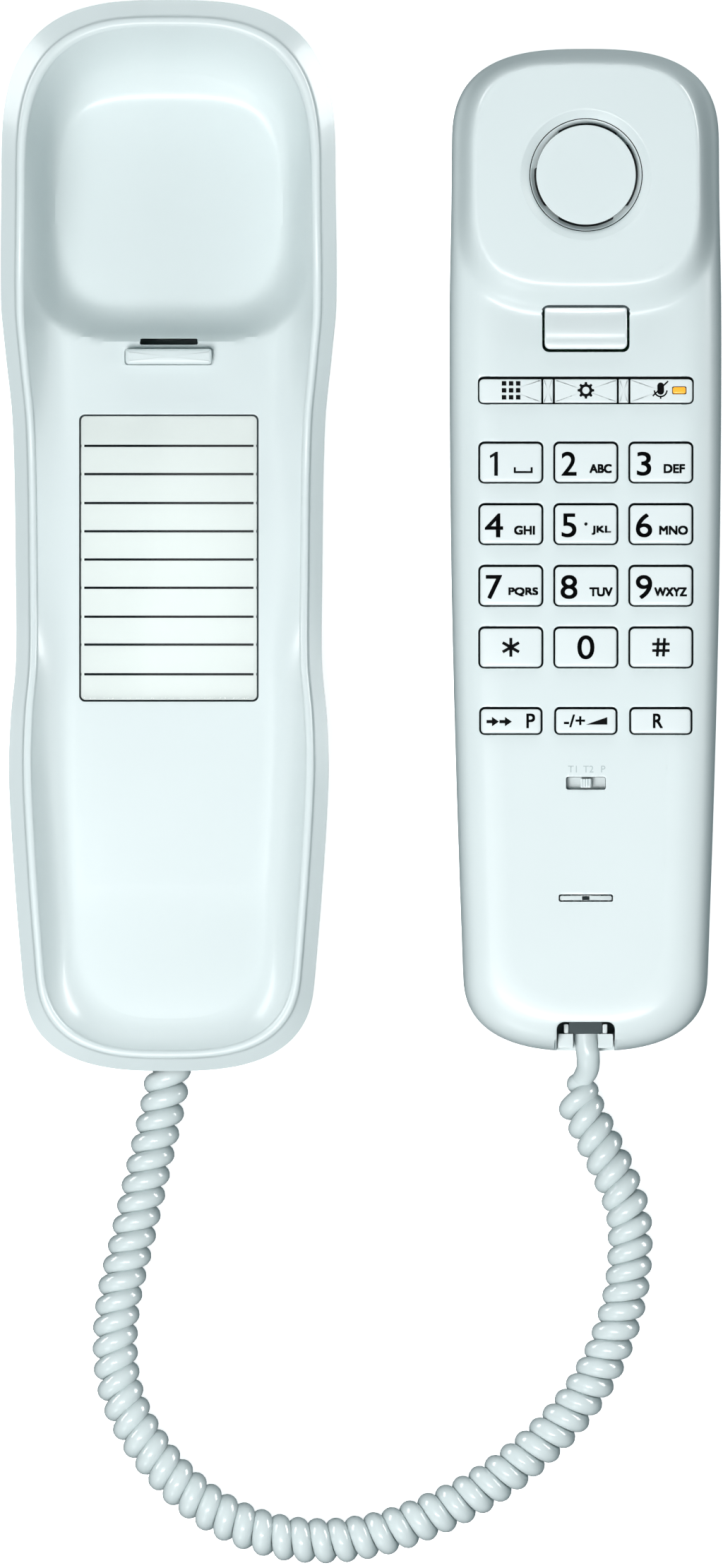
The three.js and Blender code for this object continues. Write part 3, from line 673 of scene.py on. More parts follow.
lamp("overhead", (-0.32, -0.41, 1.2), 0.65, 0.65, 16.4, gloss=False)
lamp("key", (-0.35, -0.85, 0.9), 0.6, 0.6, 3, gloss=False)
lamp("back_fill", (0.1, 1.5, 0.32), 1.6, 0.4, 13, gloss=False)
lamp("right_fill", (1.5, -0.05, 0.35), 0.4, 1.6, 6, gloss=False)
lamp("end_gloss", (-0.12, -0.75, 2.2), 1.2, 0.3, 20, diffuse=False)
lamp("rim_gloss", (-0.5, -1.35, 0.6), 0.5, 0.4, 2, diffuse=False)
lamp("left_gloss", (-1.25, 0.6, 0.25), 0.9, 0.35, 11, diffuse=False)
lamp("right_gloss", (1.25, 0.6, 0.25), 0.9, 0.35, 17, diffuse=False)
glare = lamp("pane_gloss", (-0.036, 0.012, 2.016), 0.045, 0.16, 0.022, diffuse=False)
glare.rotation_euler = (0, 0, math.radians(-6.3))

# ---------- cradle ----------
cradle_outline = Outline(
    head=(107.5, 34.1, 3),
    tail=(-107.8, 18.5, 2.8),
    lean=0.15,
    sides=[
        (107.5, 33.6), (73.4, 33.6), (47.5, 33.8), (37, 32.9), (22.5, 31.5), (-10, 30.9),
        (-26, 30.9), (-37, 31.9), (-49, 32.2), (-70, 31), (-89.5, 29.4), (-107.8, 27.8),
    ],
)
lip_height = smooth_through(
    [
        (107.5, 34), (75, 33.6), (55, 31.5), (38, 26), (20, 20), (4, 18.5), (-14, 19), (-34, 22.6),
        (-52, 25), (-75, 25.4), (-107.8, 23.4),
    ]
)
band_drop = smooth_through([(0, 4.1), (0.5, 3.62), (1, 3.13), (2, 2.13), (3, 1.15)])


def squircle(x, y, centre_y, half_width, half_length, power=3.6):
    """How far out points are, as a share of a squircle's reach, and how far towards the head."""
    u, v = np.abs(x) / half_width, (y - centre_y) / half_length
    reach = (u**power + np.abs(v) ** power) ** (1 / power)
    return reach, v / np.maximum(np.hypot(u, v), 1e-9)


def recess_depth(x, y):
    """How deep the ear recess is, from 0 outside it to 1 on its floor."""
    reach, rise = squircle(x, y, 65.2, 22.5, 22.4)
    low = np.where(rise < 0, rise**2, 0)
    start, stop = 1 - 0.2 * low, 1.3 + np.where(rise > 0, 0.32, -0.16) * rise**2
    out = clamp01((reach - start) / (stop - start))
    return 1 - mix(smoothstep(out), out**2, low)


def trough_height(x, y):
    inside = cradle_outline.inset_at(x, y) - LIP_WIDTH
    wall = clamp01(1 - inside / WALL_RUN) ** 2.2
    floor_z = TROUGH_Z + 1.5 * smoothstep((-70 - y) / 32)
    open_z = mix(floor_z, lip_height(y) - 1.2, wall)
    return mix(open_z, 9.0, recess_depth(x, y))


def under_trough(x, y):
    """The shell's inner face, which drops round the card's pocket to leave it a floor."""
    z = trough_height(x, y) - WALL
    pocket = (np.abs(x) < 20.5) & (np.abs(y - CARD_Y) < 31.5)
    return np.where(pocket, np.minimum(z, 11.5), z)


def lip(drop):
    return lambda x, y: lip_height(y) - drop


def cradle_rings():
    rings = [
        (13, under_trough),
        (9, lambda x, y: trough_height(x, y) - WALL - 0.4),
        (6.5, lambda x, y: np.minimum(lip_height(y) - 6, trough_height(x, y) - 3.5)),
        (2.8, 9),
        (WALL, 5),
        (WALL, RIM_Z + 0.3),
        (WALL - 0.3, RIM_Z),
        (0.25, RIM_Z),
        (0.05, RIM_Z + 0.3),
        (0.02, lip(9)),
    ]
    rings += [(inset, lip(band_drop(inset))) for inset in np.linspace(0.04, 2.9, 10)]
    for angle in np.radians(np.linspace(168, 12, 11)):
        bead = 3.95 + 0.95 * math.cos(angle)
        rings.append((bead, lip(1.15 - 1.1 * math.sin(angle))))
    insets = [4.95, 5.15, 5.4, 5.7, 6.05, 6.45, 6.9, 7.4, 7.95, 8.55, 9.2, 9.9, 10.7]
    return rings + [(inset, trough_height) for inset in [*insets, 11.5, 12.4]]


cradle_screws = [(-19, 96), (19, 96), (-23, -80), (23, -80)]
cradle_feet = [(-22, 78), (22, 78), (-22, -62), (22, -62)]

rows, caps = cradle_outline.rows(34, 150, 26), ((24, under_trough), (40, trough_height))
shell = skin(cradle_outline, rows, cradle_rings(), *caps)
shell = mesh_object("cradle_shell_body", shell, WHITE, CRADLE_X)
card_pocket = surface_cutter(rounded_rectangle(36, 57.7, 1.1), 0, CARD_Y, 13.7, trough_height, 0.1)
slit = surface_cutter(rounded_rectangle(11.5, 1.2, 0.25, 4), 0, 39.1, 4, trough_height, 0.1)
# The card pocket and the hook slit get painted shade: their walls are drawn near-black to show the
# shadow in them.
carve(shell, CRADLE_X, [card_pocket, slit], SHADE_LINING)
tab_slot = rounded_rectangle(17.8, 3.3, 0.7)
openings = [
    surface_cutter(tab_slot, 0, HOOK_TAB_Y, 15.3, trough_height, 0.15),
    block(0, HOOK_TAB_Y, 4, 14.9, 12, 2.2, 0.3),
    block(0, JACK_Y, -5, 12.3, CORD_OPENING, 14, 1.2),
    block(LINE_JACK_X, JACK_Y, -5, 12.3, 13, 14, 1.2),
]
place(carve(shell, CRADLE_X, openings), "cradle", "housing", "cradle_shell")

base_rings = [(2.6, RIM_Z), (2.3, RIM_Z + 0.3), (2.3, PLATE_TOP)]
rows, caps = cradle_outline.rows(20, 40, 14), ((12, RIM_Z), (4, PLATE_TOP))
base = skin(cradle_outline, rows, base_rings, *caps)
recesses = [turned([(2.8, -1), (2.8, 2.6)], x, y) for x, y in cradle_screws]
recesses += [turned([(1.5, 2.7), (1.5, 8)], x, y) for x, y in cradle_screws]
recesses += [block(0, y, -1, 8, 4.6, 10, 1.5) for y in (54, -58)]
recesses += [block(0, JACK_Y, -1, 8, CORD_OPENING, 10, 1)]
grip_ribs = [block(0, y, -1, 2.0, 30, 1.2, 0.5) for y in np.arange(-44, 32, 6.0)]
keyholes = [turned([(4.2, -1), (4.2, 8)], 0, y) for y in (50, -62)]
cuts = [recesses + grip_ribs, keyholes]
piece("cradle_base_plate", base, WHITE, "cradle", "housing", "cradle_base", cuts=cuts)

for number, (x, y) in enumerate(cradle_feet, 1):
    profile = [(4.6, 0), (4.9, 0.15), (5, 0.4), (5, 1.0), (4.8, RIM_Z - GAP)]
    groove = lathe([(2.6, -0.2), (3.2, -0.2), (3.2, 0.35), (2.6, 0.35)], x, y)
    foot = turned(profile, x, y)
    name = f"foot_{number}"
    piece(f"{name}_pad", foot, RUBBER, "cradle", "rubber", name, cuts=[[groove]])


def screw(name, x, y, z, height, shank, body, radius=2.3, length=9):
    """A pan-head screw seen from below, with a cross in its head."""
    profile = [(radius * 0.8, z), (radius, z + 0.25), (radius, z + height)]
    profile += [(shank, z + height + 0.02), (shank, z + length - 1), (0.3, z + length)]
    slots = ((0.5, 2.4), (2.4, 0.5))
    cuts = [[block(x, y, z - 1, z + 0.45, across, along, 0.1)] for across, along in slots]
    piece(f"{name}_head", turned(profile, x, y, 40), STEEL, body, "steel", name, cuts=cuts)


for number, (x, y) in enumerate(cradle_screws, 1):
    screw(f"cradle_screw_{number}", x, y, 1.6, 0.8, 1, "cradle")


def jack_socket(name, x, width, socket_width):
    """A modular jack block with its stepped mouth."""
    mouth = block(x, -94, 4.8, 11.2, socket_width, 11, 0.2)
    step = block(x, -94.5, 4.2, 5.2, 3.6, 10, 0.1)
    jack = block(x, -92, 3.8, 12, width, 13, 0.5, 0.2)
    piece(f"{name}_block", jack, BLACK, "cradle", "black_plastic", name, cuts=[[mouth], [step]])


jack_socket("line_jack", LINE_JACK_X, 12, 10)
jack_socket("cord_jack", 0, 11, 8.4)

tab_profile = [(0.35, 0.3), (0.0, 0.5), (0.0, 2.1), (0.1, 2.4), (0.35, 2.62), (0.7, 2.7)]
flat, out = rounded_rectangle(17.3, 3.1, 0.65, 6, 6)
flat = flat + (0, HOOK_TAB_Y)
tab = stack([at_height(flat - out * e, TROUGH_Z + z) for e, z in tab_profile])
tongue = block(0, HOOK_TAB_Y, TROUGH_Z - 6, TROUGH_Z + 0.25, 11.4, 1.6, 0.3)
piece("hook_tab_bar", joined([tab, tongue]), WHITE, "hook_tab", "housing", "hook_tab")

CARD_TOP = CARD_Z + 0.3
sheet = block(0, CARD_Y, CARD_Z, CARD_TOP, 35.2, 56.9, 0.8, 0.05)
piece("index_card_sheet", sheet, PAPER, "cradle", "paper", "index_card")
line_rows = [631, 671, 712, 752, 792, 832, 873, 912.5, 954.5]
PIXEL, MIDDLE_ROW = 0.1422, 758.3  # the photograph's millimetres a pixel, and its row at y = 0
line_y = [(MIDDLE_ROW - row) * PIXEL for row in line_rows]
ruling = [block(0, y, CARD_TOP, CARD_TOP + 0.02, 34.1, 0.48, 0.05, turn=2) for y in line_y]
piece("index_card_ruling", joined(ruling), INK_AND_DOT_SHADE, "cradle", "paper")

pane_profile = [(0.6, 14.6), (0.15, 14.6), (0, 14.75), (0, 15.7), (0.12, 15.9), (0.3, 16.0)]
pane_profile += [(0.4, 16.02), (0.7, 16.02)]
flat, out = rounded_rectangle(35.4, 57.1, 0.9, 6, 4)
pane = stack([at_height(flat - out * e + (0, CARD_Y), z) for e, z in pane_profile])
pane = piece("card_window_pane", pane, CLEAR, "card_window", "clear_plastic", "card_window")
pane.visible_shadow = False

# ---------- handset shells ----------
handset_outline = Outline(
    head=(98.2, 19.9, 2.8),
    tail=(-103.9, 15.6, 2.6),
    sides=[
        (98.2, 26.9), (70, 27), (45, 27.4), (15, 27.3), (-15, 26.9), (-50, 26), (-85, 24.8),
        (-103.9, 24.1),
    ],
)


def plateau(x, y):
    """How much of a point is on the raised ear end, from 0 to 1."""
    reach, rise = squircle(x, y, EAR_Y, 22.7, 22.3)
    soft = 0.16 + np.where(rise < 0, 0.14, 0) * rise**2
    return 1 - smoothstep((reach - 0.98) / soft)


def face_height(x, y):
    inset = handset_outline.inset_at(x, y)
    side = (FACE_Z - SPLIT_Z - GAP) * rounded(inset, 10.4, 3)
    raised = plateau(x, y) * smoothstep(inset / 1.6)
    return mix(SPLIT_Z + GAP + side, EAR_TOP, raised)


def under_face(x, y):
    return face_height(x, y) - SKIN


columns = [-COLUMN, 0, COLUMN]
number_rows = [14.7 - row * ROW for row in range(4)]
LOWER_Y, STRIP_Y, SWITCH_Y, MIC_Y = -37.3, 29.2, -49.85, -72.95
HOOK_Y, STRIP_WIDTH = 41.5, 43.3

outer = [0, 0.02, 0.07, 0.16, 0.3, 0.5, 0.75, 1.05]
outer += list(np.arange(1.4, 6.4, 0.36)) + [6.8, 7.3, 7.9, 8.6, 9.4, 10.3]
front_rings = [
    (4.6, under_face),
    (2.4, lambda x, y: face_height(x, y) - 2 * SKIN),
    (SKIN, SPLIT_Z + GAP),
    *((inset, face_height) for inset in outer),
]
rows, caps = handset_outline.rows(26, 150, 24), ((16, under_face), (38, face_height))
front = skin(handset_outline, rows, front_rings, *caps)
front = mesh_object("handset_front_shell", front, WHITE, HANDSET_X)
windows = [(x, y, rounded_rectangle(12.95, 8.3, 1.1)) for y in number_rows for x in columns]
windows += [(x, LOWER_Y, rounded_rectangle(12.6, 5.45, 1.0)) for x in columns]
windows += [
    (0, STRIP_Y, rounded_rectangle(STRIP_WIDTH, 5.4, 1.0, 6, 24)),
    (0, HOOK_Y, rounded_rectangle(17.4, 9.0, 1.3)),
    (0, SWITCH_Y, rounded_rectangle(7.8, 2.4, 0.35, 4)),
    (0, MIC_Y, rounded_rectangle(10.75, 1.3, 0.3, 4)),
]
cutters = [surface_cutter(shape, x, y, 12, face_height, 0.13) for x, y, shape in windows]
# The walls of all these windows are drawn near-black: painted shade for the shadowed gaps round the
# keys, the switch and the mic slot.
carve(front, HANDSET_X, cutters, SHADE_LINING)
ear_mouth = [
    (11.4, 12), (11.4, EAR_TOP - 1.16), (11.44, EAR_TOP - 1.1), (13.06, EAR_TOP - 0.05),
    (13.3, EAR_TOP + 0.02), (13.3, EAR_TOP + 4),
]
notch = rounded_rectangle(NOTCH_WIDTH, 20, 1.5)
openings = [
    turned(ear_mouth, 0, EAR_Y, 96),
    surface_cutter(notch, 0, -107.9, 2, face_height, 0.3),
]
place(carve(front, HANDSET_X, openings), "handset", "housing", "handset_front")

back_insets = [7.6, 5.6, 4.2, 3, 2.1, 1.4, 0.9, 0.5, 0.22, 0.06, 0]
back_rings = [(inset, SPLIT_Z * (1 - rounded(inset, 7, 2.4))) for inset in back_insets]
back_rings += [(0.25, SPLIT_Z), (SKIN, SPLIT_Z), (2.4, 5), (4.6, 2.8), (7.5, 2)]
back = skin(handset_outline, handset_outline.rows(22, 60, 20), back_rings, (8, 0), (8, 2))
handset_screws = [54, -81]
openings = [turned([(2.8, -1), (2.8, 1.1)], 0, y) for y in handset_screws]
openings += [turned([(1.3, 1.2), (1.3, 5)], 0, y) for y in handset_screws]
openings += [block(0, -102.9, 6.5, 16.5, NOTCH_WIDTH, 10, 0.6)]
# Sound slots for the ringer, shorter towards both sides.
openings += [block(-12 + dx, -80, -1, 4, 1.1, 9 - abs(dx) * 0.6, 0.5) for dx in range(-6, 7, 2)]
back_names = ("handset", "housing", "handset_back")
piece("handset_back_shell", back, WHITE, *back_names, cuts=[openings])
for number, y in enumerate(handset_screws, 1):
    screw(f"handset_screw_{number}", 0, y, 0.2, 0.7, 0.9, "handset")

# ---------- ear end ----------
disc_profile = [(9.9, 21.9), (10, 22), (10, EAR_TOP - 0.5), (9.92, EAR_TOP - 0.42)]
disc_profile += [(9.7, EAR_TOP - 0.4), (6, EAR_TOP - 0.4), (2, EAR_TOP - 0.4)]
disc = turned(disc_profile, 0, EAR_Y, 128)
piece("earpiece_cap_disc", disc, WHITE, "handset", "housing", "earpiece_cap")


def ear_ring():
    """A coved ring round the cap. Four bridges close the sound gap between them."""
    count, outer = 160, 11.12
    way = circle(1, count)[1]
    degrees = np.arange(count) * 360 / count
    closed = np.zeros(count, bool)
    for low, high in ((122, 172), (218, 237), (303, 322), (38, 52)):
        closed |= (degrees > low) & (degrees < high)
    inner = np.where(closed, 10.06, 10.42)[:, None]
    cove = [(0.0, 0.0), (0.04, 0.0)]
    cove += [(1 - math.cos(a), 1 - math.cos(a)) for a in np.radians([40, 55, 68, 80, 88])]
    centre, low = (0, EAR_Y), 20.1
    rings = [at_height(way * inner + centre, low)]
    for across, rise in cove:
        rings.append(at_height(way * mix(inner, outer, across) + centre, 20.9 + 1.15 * rise))
    rings += [at_height(way * 11.2 + centre, z) for z in (22.03, low)]
    return loop_of(rings)


piece("earpiece_ring_cove", ear_ring(), WHITE, "handset", "housing", "earpiece_ring")

# ---------- keys ----------
KEY_DROP = 0.08  # the keys sit a little low in their windows
key_tops = {}


def capped(rings, flat, out, edge, top, centre, shares):
    """A solid on rings, with an eased edge and a top that follows top(x, y)."""
    for angle in np.radians([0, 18, 36, 54, 72, 90]):
        where = flat - out * edge * (1 - math.cos(angle))
        z = top(*where.T) - edge * (1 - math.sin(angle))
        rings.append(np.column_stack([where, z]))
    for share in shares:
        where = mix(np.array([centre]), flat - out * edge, share)
        rings.append(np.column_stack([where, top(*where.T)]))
    points, faces = stack(rings)
    points[-1, 2] = top(*centre)
    return points, faces


def key(name, x, y, width, length, corner, foot=15.6, rise=0.62, dome=0.14, edge=0.42):
    """A domed key that follows the face under it. Its top is kept for the legend."""

    def top(px, py):
        u, v = (px - x) / (width / 2), (py - y) / (length / 2)
        crown = dome * (1 - clamp01(u * u)) * (1 - clamp01(v * v))
        return face_height(px, py) + rise + crown

    flat, out = rounded_rectangle(width, length, corner, 6, 10)
    flat = flat + (x, y - KEY_DROP)
    key_tops[name] = (x, y, top)
    rings = [at_height(flat - out * 0.1, foot), at_height(flat, foot + 0.3)]
    return capped(rings, flat, out, edge, top, (x, y), (0.9, 0.75, 0.55, 0.35, 0.15))


def key_cap(name, *sizes, cuts=(), **options):
    body, shape = "key_" + name, key(name, *sizes, **options)
    piece(body + "_cap", shape, KEY_WHITE, body, "keys", body, cuts=cuts)


names = ["1", "2", "3", "4", "5", "6", "7", "8", "9", "star", "0", "hash"]
for i, name in enumerate(names):
    key_cap(name, columns[i % 3], number_rows[i // 3], 12.35, 7.7, 0.85)
for i, name in enumerate(["redial", "volume", "recall"]):
    key_cap(name, columns[i], LOWER_Y, 12.0, 4.85, 0.75, dome=0.08)

STRIP_X = (STRIP_WIDTH - 12.9) / 2
CAP_Y, CAP_LENGTH = STRIP_Y - 0.05, 4.75
LED_X = 18.8
led_hole = [block(LED_X, STRIP_Y, 12, 25, 2.9, 1.6, 0.3)]
for name, x, corner, cuts in (
    ("menu", -STRIP_X, (0.15, 0.85, 0.85, 0.15), []),
    ("settings", 0, 0.15, []),
    ("mute", STRIP_X, (0.85, 0.15, 0.15, 0.85), [led_hole]),
):
    key_cap(name, x, CAP_Y, 12.5, CAP_LENGTH, corner, dome=0.05, edge=0.3, cuts=cuts)
spacer_form = {"foot": 14.7, "rise": 0.4, "dome": 0, "edge": 0.25}
for side, x in (("left", -STRIP_X / 2), ("right", STRIP_X / 2)):
    name = f"strip_spacer_{side}"
    spacer = key(name, x, CAP_Y, 1.95, CAP_LENGTH, 0.15, **spacer_form)
    piece(f"{name}_bar", spacer, KEY_WHITE, "handset", "housing", name)

led = block(LED_X, STRIP_Y, 14.7, 20.22, 2.6, 1.3, 0.35, 0.2)
piece("message_led_lens", led, AMBER, "handset", "amber", "message_led")


def hook_key():
    """The wide hook key: flush at its upper edge, rising to a crease, with a lip below it."""
    low, high = 37.5, 45.92
    rises = [(37.0, 0.95), (38.0, 1.2), (38.9, 1.25), (39.5, 1.02), (41, 1.15), (43, 0.8)]
    profile = smooth_through([*rises, (46, -0.02)])

    def top(px, py):
        return FACE_Z + profile(py) + PLATEAU_RISE * plateau(px, py)

    centre = (0, (low + high) / 2)
    flat, out = rounded_rectangle(16.6, high - low, (0.5, 0.5, 1.1, 1.1), 6, 16)
    flat = flat + centre
    shares = np.linspace(0.95, 0.05, 16)
    return capped([at_height(flat, 16.8)], flat, out, 0.4, top, centre, shares)


piece("hook_key_cap", hook_key(), KEY_WHITE, "hook_key", "keys", "hook_key")

# ---------- slide switch, strain relief and inner parts ----------
knob = [
    block(0, SWITCH_Y, 16.1, 17.6, 11.6, 3.6, 0.3, 0.1),
    block(0, SWITCH_Y, 17.7, 19.55, 2.2, 1.8, 0.2, 0.1),
]
grips = (-0.75, -0.25, 0.25, 0.75)
knob += [block(x, SWITCH_Y, 19.3, 19.85, 0.26, 1.75, 0.08, 0.06) for x in grips]
piece("mode_slider_knob", joined(knob), WHITE, "mode_slider", "housing", "mode_slider")

groove = block(0, MIC_Y, 17.9, 18.85, 10.4, 0.96, 0.3, 0.05)
# The hole in the groove floor is lined with painted shade.
hole = {"cuts": [[block(0, MIC_Y, 12, 22, 1.5, 0.8, 0.1)]], "cut_shade": SHADE_LINING}
piece("microphone_groove_floor", groove, WHITE, "handset", "housing", **hole)

relief = block(0, -101.75, 6.8, 14.0, 11.1, 2.9, 0.3, 0.12)
saddle = [block(0, -101.7, 10, 20, 5.1, 10, 0.3)]
relief_names = ("handset", "housing", "strain_relief")
piece("handset_strain_relief", relief, WHITE, *relief_names, cuts=[saddle])
# A dark plate across the cord notch: painted shade where the socket's top wall lies in shadow.
lead_shade_block = block(0, -99.1, 12.7, 13.5, 6.7, 2.5, 0.3, 0.1)
piece("handset_lead_shade_plate", lead_shade_block, SHADE_LINING, "handset", "housing")
ribs = joined([block(x, -99.35, 6.8, 13.4, 0.95, 2.0, 0.3, 0.15) for x in (-3.9, 3.9)])
piece("handset_strain_ribs", ribs, WHITE, "handset", "housing")

for material, inner_parts in (
    (BLACK, ("receiver_capsule", "hook_switch", "mode_switch", "ringer")),
    (BOARD, ("main_board", "jack_board")),
    (RUBBER, ("keypad_mat", "microphone_boot")),
    (STEEL, ("microphone", "ballast_plate")),
):
    for name in inner_parts:
        node = bpy.data.objects[name]
        node.data.materials.clear()
        node.data.materials.append(material)
        eased = node.modifiers.new("eased_edges", "BEVEL")
        eased.width, eased.segments, eased.limit_method = 0.0002, 2, "ANGLE"
        weighted(node)

# ---------- legends ----------
def glyphs(body):
    """Lettering as a filled mesh's (points, faces), in its own units."""
    curve = bpy.data.curves.new("glyphs", "FONT")
    curve.body = body
    curve.resolution_u = 6
    obj = bpy.data.objects.new("glyphs", curve)
    collection.objects.link(obj)
    graph = bpy.context.evaluated_depsgraph_get()
    mesh = bpy.data.meshes.new_from_object(obj.evaluated_get(graph))
    bpy.data.objects.remove(obj)
    points = np.array([v.co[:2] for v in mesh.vertices])
    return points, [list(p.vertices) for p in mesh.polygons]


def text(body, x, y, height, width=None):
    """Lettering centred at (x, y), scaled to its height and, if given, its width."""
    points, faces = glyphs(body)
    low, high = points.min(0), points.max(0)
    size = high - low
    scale = height / size[1]
    across = width / size[0] if width else scale
    return (points - (low + high) / 2) * (across, scale) + (x, y), faces


def bold(body, x, y, height, width, extra):
    """Lettering with each stroke thickened by extra, from shifted copies that overlap."""
    shifts = [(-1, -1), (1, -1), (-1, 1), (1, 1)]
    height, width = height - extra, width - extra
    half = extra / 2
    return [text(body, x + dx * half, y + dy * half, height, width) for dx, dy in shifts]


def polygon(*outlines):
    """A filled shape from closed outlines: the first is its edge and the others are holes."""
    loops = [[(px, py, 0) for px, py in loop] for loop in outlines]
    points = np.array([p[:2] for loop in loops for p in loop])
    return points, [list(face) for face in tessellate_polygon(loops)]


def bar(x0, y0, x1, y1, thickness):
    """A straight stroke."""
    a, b = np.array([x0, y0]), np.array([x1, y1])
    side = np.array([y0 - y1, x1 - x0]) / np.linalg.norm(b - a) * thickness / 2
    return polygon([a + side, a - side, b - side, b + side])


def arc(x, y, radius, start, stop, thickness, steps=20):
    angle = np.radians(np.linspace(start, stop, steps))
    way = np.stack([np.cos(angle), np.sin(angle)], 1)
    outer, inner = radius + thickness / 2, radius - thickness / 2
    return polygon([*((x, y) + way * outer), *((x, y) + way[::-1] * inner)])


def gear(x, y):
    angle = np.linspace(0, 2 * math.pi, 8 * 12, endpoint=False)
    phase = np.abs((angle * 8 / (2 * math.pi) + 0.5) % 1 - 0.5)
    radius = 1.25 + 0.43 * clamp01((0.27 - phase) / 0.08)
    turned_angle = angle + math.pi / 2
    rim = np.stack([x + radius * np.cos(turned_angle), y + radius * np.sin(turned_angle)], 1)
    hole = np.stack([x + 0.72 * np.cos(angle), y + 0.72 * np.sin(angle)], 1)
    return polygon(rim, hole[::-1])


def flat_shape(shapes, step=0.7):
    """Flat shapes as one mesh of small faces, so that it can lie on a curved key."""
    points, faces = joined([(np.column_stack([p, np.zeros(len(p))]), f) for p, f in shapes])
    solid = bmesh.new()
    made = [solid.verts.new(p) for p in points]
    for face in faces:
        if len(set(face)) > 2:
            try:
                solid.faces.new([made[i] for i in face])
            except ValueError:
                continue
    for axis in (0, 1):
        low, high = points[:, axis].min(), points[:, axis].max()
        normal = (1, 0, 0) if axis == 0 else (0, 1, 0)
        for cut in np.arange(math.ceil(low / step), high / step) * step:
            at = (cut, 0, 0) if axis == 0 else (0, cut, 0)
            parts = [*solid.verts, *solid.edges, *solid.faces]
            bmesh.ops.bisect_plane(solid, geom=parts, plane_co=at, plane_no=normal)
    solid.verts.index_update()
    points = np.array([v.co for v in solid.verts])
    faces = [[v.index for v in face.verts] for face in solid.faces]
    solid.free()
    return points, faces


def lay_on(name, shapes, top, body, material=INK_AND_DOT_SHADE):
    points, faces = flat_shape(shapes)
    points[:, 2] = top(points[:, 0], points[:, 1]) + PRINT_LIFT
    mesh = bpy.data.meshes.new(name)
    mesh.from_pydata((points + (HANDSET_X, 0, 0)) * MM, [], faces)
    mesh.materials.append(material)
    mesh.shade_smooth()
    obj = bpy.data.objects.new(name, mesh)
    collection.objects.link(obj)
    solid = bmesh.new()
    solid.from_mesh(mesh)
    bmesh.ops.recalc_face_normals(solid, faces=solid.faces)
    if sum(face.normal.z for face in solid.faces) < 0:
        bmesh.ops.reverse_faces(solid, faces=solid.faces)
    solid.to_mesh(mesh)
    solid.free()
    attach(obj, body)


def legend(name, shapes):
    lay_on("legend_" + name, shapes, key_tops[name][2], "key_" + name)


def figure_one(x, y):
    """A figure 1 with a flag."""
    half = FIGURE / 2
    loop = [(0.83, half), (0.83, -half), (0.1, -half), (0.1, 1.58), (-0.7, 1.12), (-0.83, 1.62)]
    return polygon([(x + px, y + py) for px, py in [*loop, (0.42, half)]])


def star(x, y):
    """Three crossed strokes."""
    ends = [(1.9 * math.cos(a), 1.9 * math.sin(a)) for a in np.radians([90, 30, 150])]
    return [bar(x - dx, y - dy, x + dx, y + dy, 0.6) for dx, dy in ends]


def hash_sign(x, y):
    strokes = [bar(x - 1.75, y + dy, x + 1.75, y + dy, 0.56) for dy in (-0.65, 0.65)]
    for cx in (x - 0.62, x + 0.62):
        strokes.append(bar(cx - 0.12, y - 1.85, cx + 0.12, y + 1.85, 0.56))
    return strokes


FIGURE = 4.83  # the figures' height
# Each key's figure width, and its letters with their centre and width.
lettering = {
    "2": (3.06, "ABC", 2.95, 4.5),
    "3": (2.9, "DEF", 2.7, 4.3),
    "4": (3.7, "GHI", 2.75, 4.2),
    "5": (3.0, "JKL", 3.1, 3.95),
    "6": (3.3, "MNO", 2.55, 5.8),
    "7": (3.3, "PQRS", 2.5, 6.0),
    "8": (3.4, "TUV", 3.05, 4.7),
    "9": (3.3, "WXYZ", 1.95, 6.6),
}
for i, name in enumerate(names):
    x, y = columns[i % 3], number_rows[i // 3]
    if name == "star":
        shapes = star(x, y)
    elif name == "hash":
        shapes = hash_sign(x, y)
    elif name == "0":
        shapes = bold("0", x, y, FIGURE, 3.45, 0.12)
    elif name == "1":
        shapes = [figure_one(x - 3.45, y - 0.27)]
        shapes += [bar(x + 0.6, y - 1.95, x + 4.37, y - 1.95, 0.42)]
        shapes += [bar(x + side, y - 2.1, x + side, y - 0.96, 0.42) for side in (0.79, 4.18)]
    else:
        figure_width, body, centre_x, width = lettering[name]
        shapes = bold(name, x - 3.4, y - 0.27, FIGURE, figure_width, 0.12)
        shapes += bold(body, x + centre_x, y - 1.25, 1.85, width, 0.2)
    legend(name, shapes)
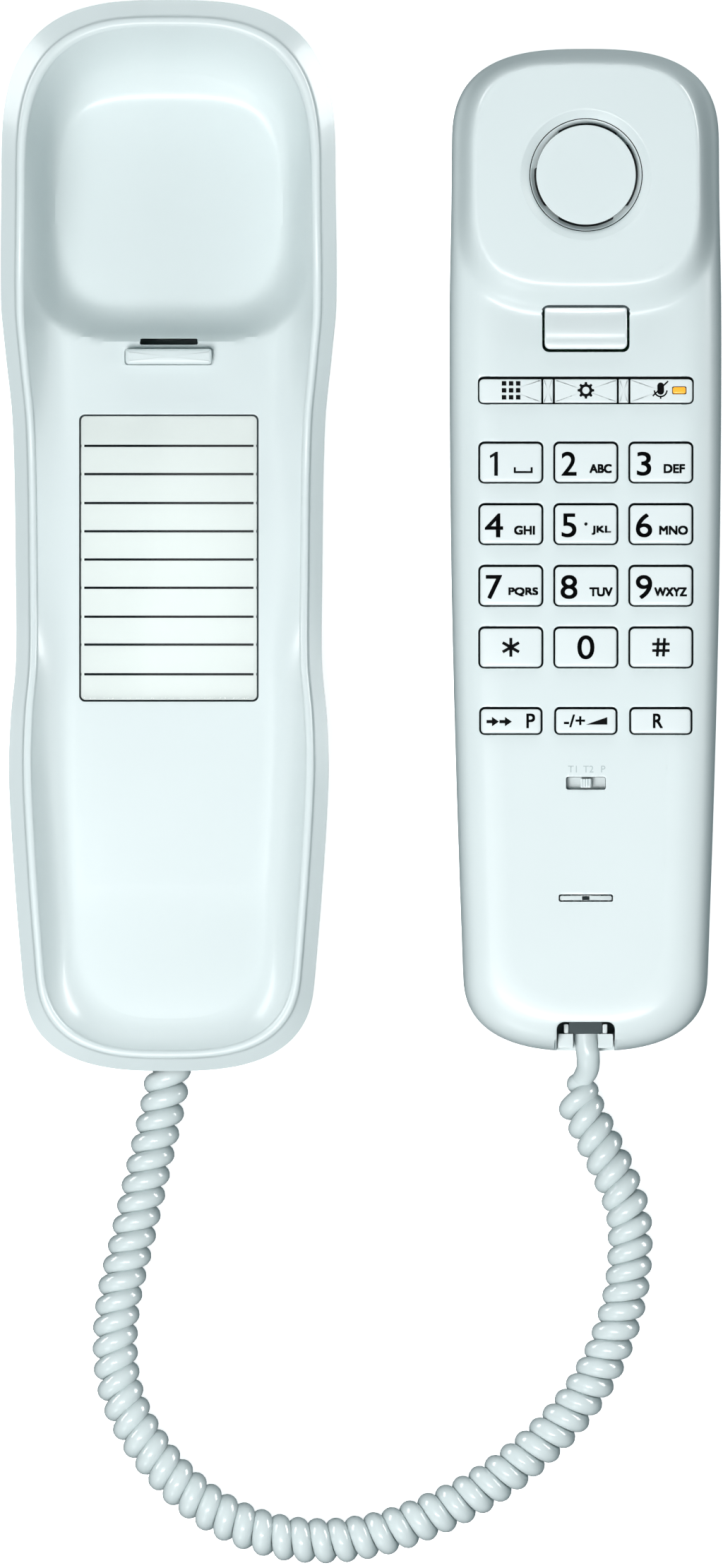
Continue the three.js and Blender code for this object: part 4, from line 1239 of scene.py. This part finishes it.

# Key 5's small raised bump is drawn black: painted shade for its relief.
dot_x, dot_y, dot_top = key_tops["5"]
dot_z = dot_top(dot_x, dot_y)
bump = [(0.34, dot_z - 0.1), (0.33, dot_z + 0.08), (0.26, dot_z + 0.16), (0.12, dot_z + 0.2)]
piece("key_5_bump", turned(bump, dot_x, dot_y, 24), INK_AND_DOT_SHADE, "key_5", "keys")


def arrow(x, y):
    """A short arrow to the right, 2.5 long."""
    loop = [(0, 0.32), (1.1, 0.32), (1.1, 0.95), (2.5, 0), (1.1, -0.95), (1.1, -0.32), (0, -0.32)]
    return polygon([(x + px, y + py) for px, py in loop])


redial = [arrow(-COLUMN - 4.9, LOWER_Y - 0.15), arrow(-COLUMN - 2.3, LOWER_Y - 0.15)]
redial += bold("P", -COLUMN + 4.0, LOWER_Y, 2.94, 1.75, 0.14)
legend("redial", redial)
ramp = [(0.0, LOWER_Y - 0.75), (4.3, LOWER_Y - 0.75), (4.3, LOWER_Y + 0.75)]
legend("volume", [*bold("-/+", -2.3, LOWER_Y, 2.6, 4.27, 0.14), polygon(ramp)])
legend("recall", bold("R", COLUMN - 0.6, LOWER_Y, 2.94, 2.0, 0.14))

dots = []
for i in range(9):
    cx, cy = -STRIP_X + 0.15 + (i // 3 - 1) * 1.42, STRIP_Y + (i % 3 - 1) * 1.4
    dots.append(bar(cx - 0.45, cy, cx + 0.45, cy, 0.9))
legend("menu", dots)
legend("settings", [gear(0, STRIP_Y)])
mic_x, mic_y = STRIP_X - 0.15, STRIP_Y + 0.35
capsule = [
    (mic_x + 0.68 * math.cos(a), mic_y + (0.55 if math.sin(a) > 0 else -0.55) + 0.68 * math.sin(a))
    for a in np.linspace(0, 2 * math.pi, 28, endpoint=False)
]
microphone = [
    polygon(capsule),
    arc(mic_x, mic_y - 0.35, 1.25, 180, 360, 0.3),
    bar(mic_x, mic_y - 1.6, mic_x, mic_y - 2.05, 0.32),
    bar(mic_x - 1.6, mic_y - 1.5, mic_x + 1.5, mic_y + 1.5, 0.3),
]
legend("mute", microphone)

# The embossed T1, T2 and P are laid on in grey: painted shade for their relief.
labels = [text(body, x, -47.0, 1.35) for body, x in (("T1", -2.7), ("T2", 0.5), ("P", 3.5))]
lay_on("switch_labels", labels, face_height, "handset", EMBOSS_SHADE)
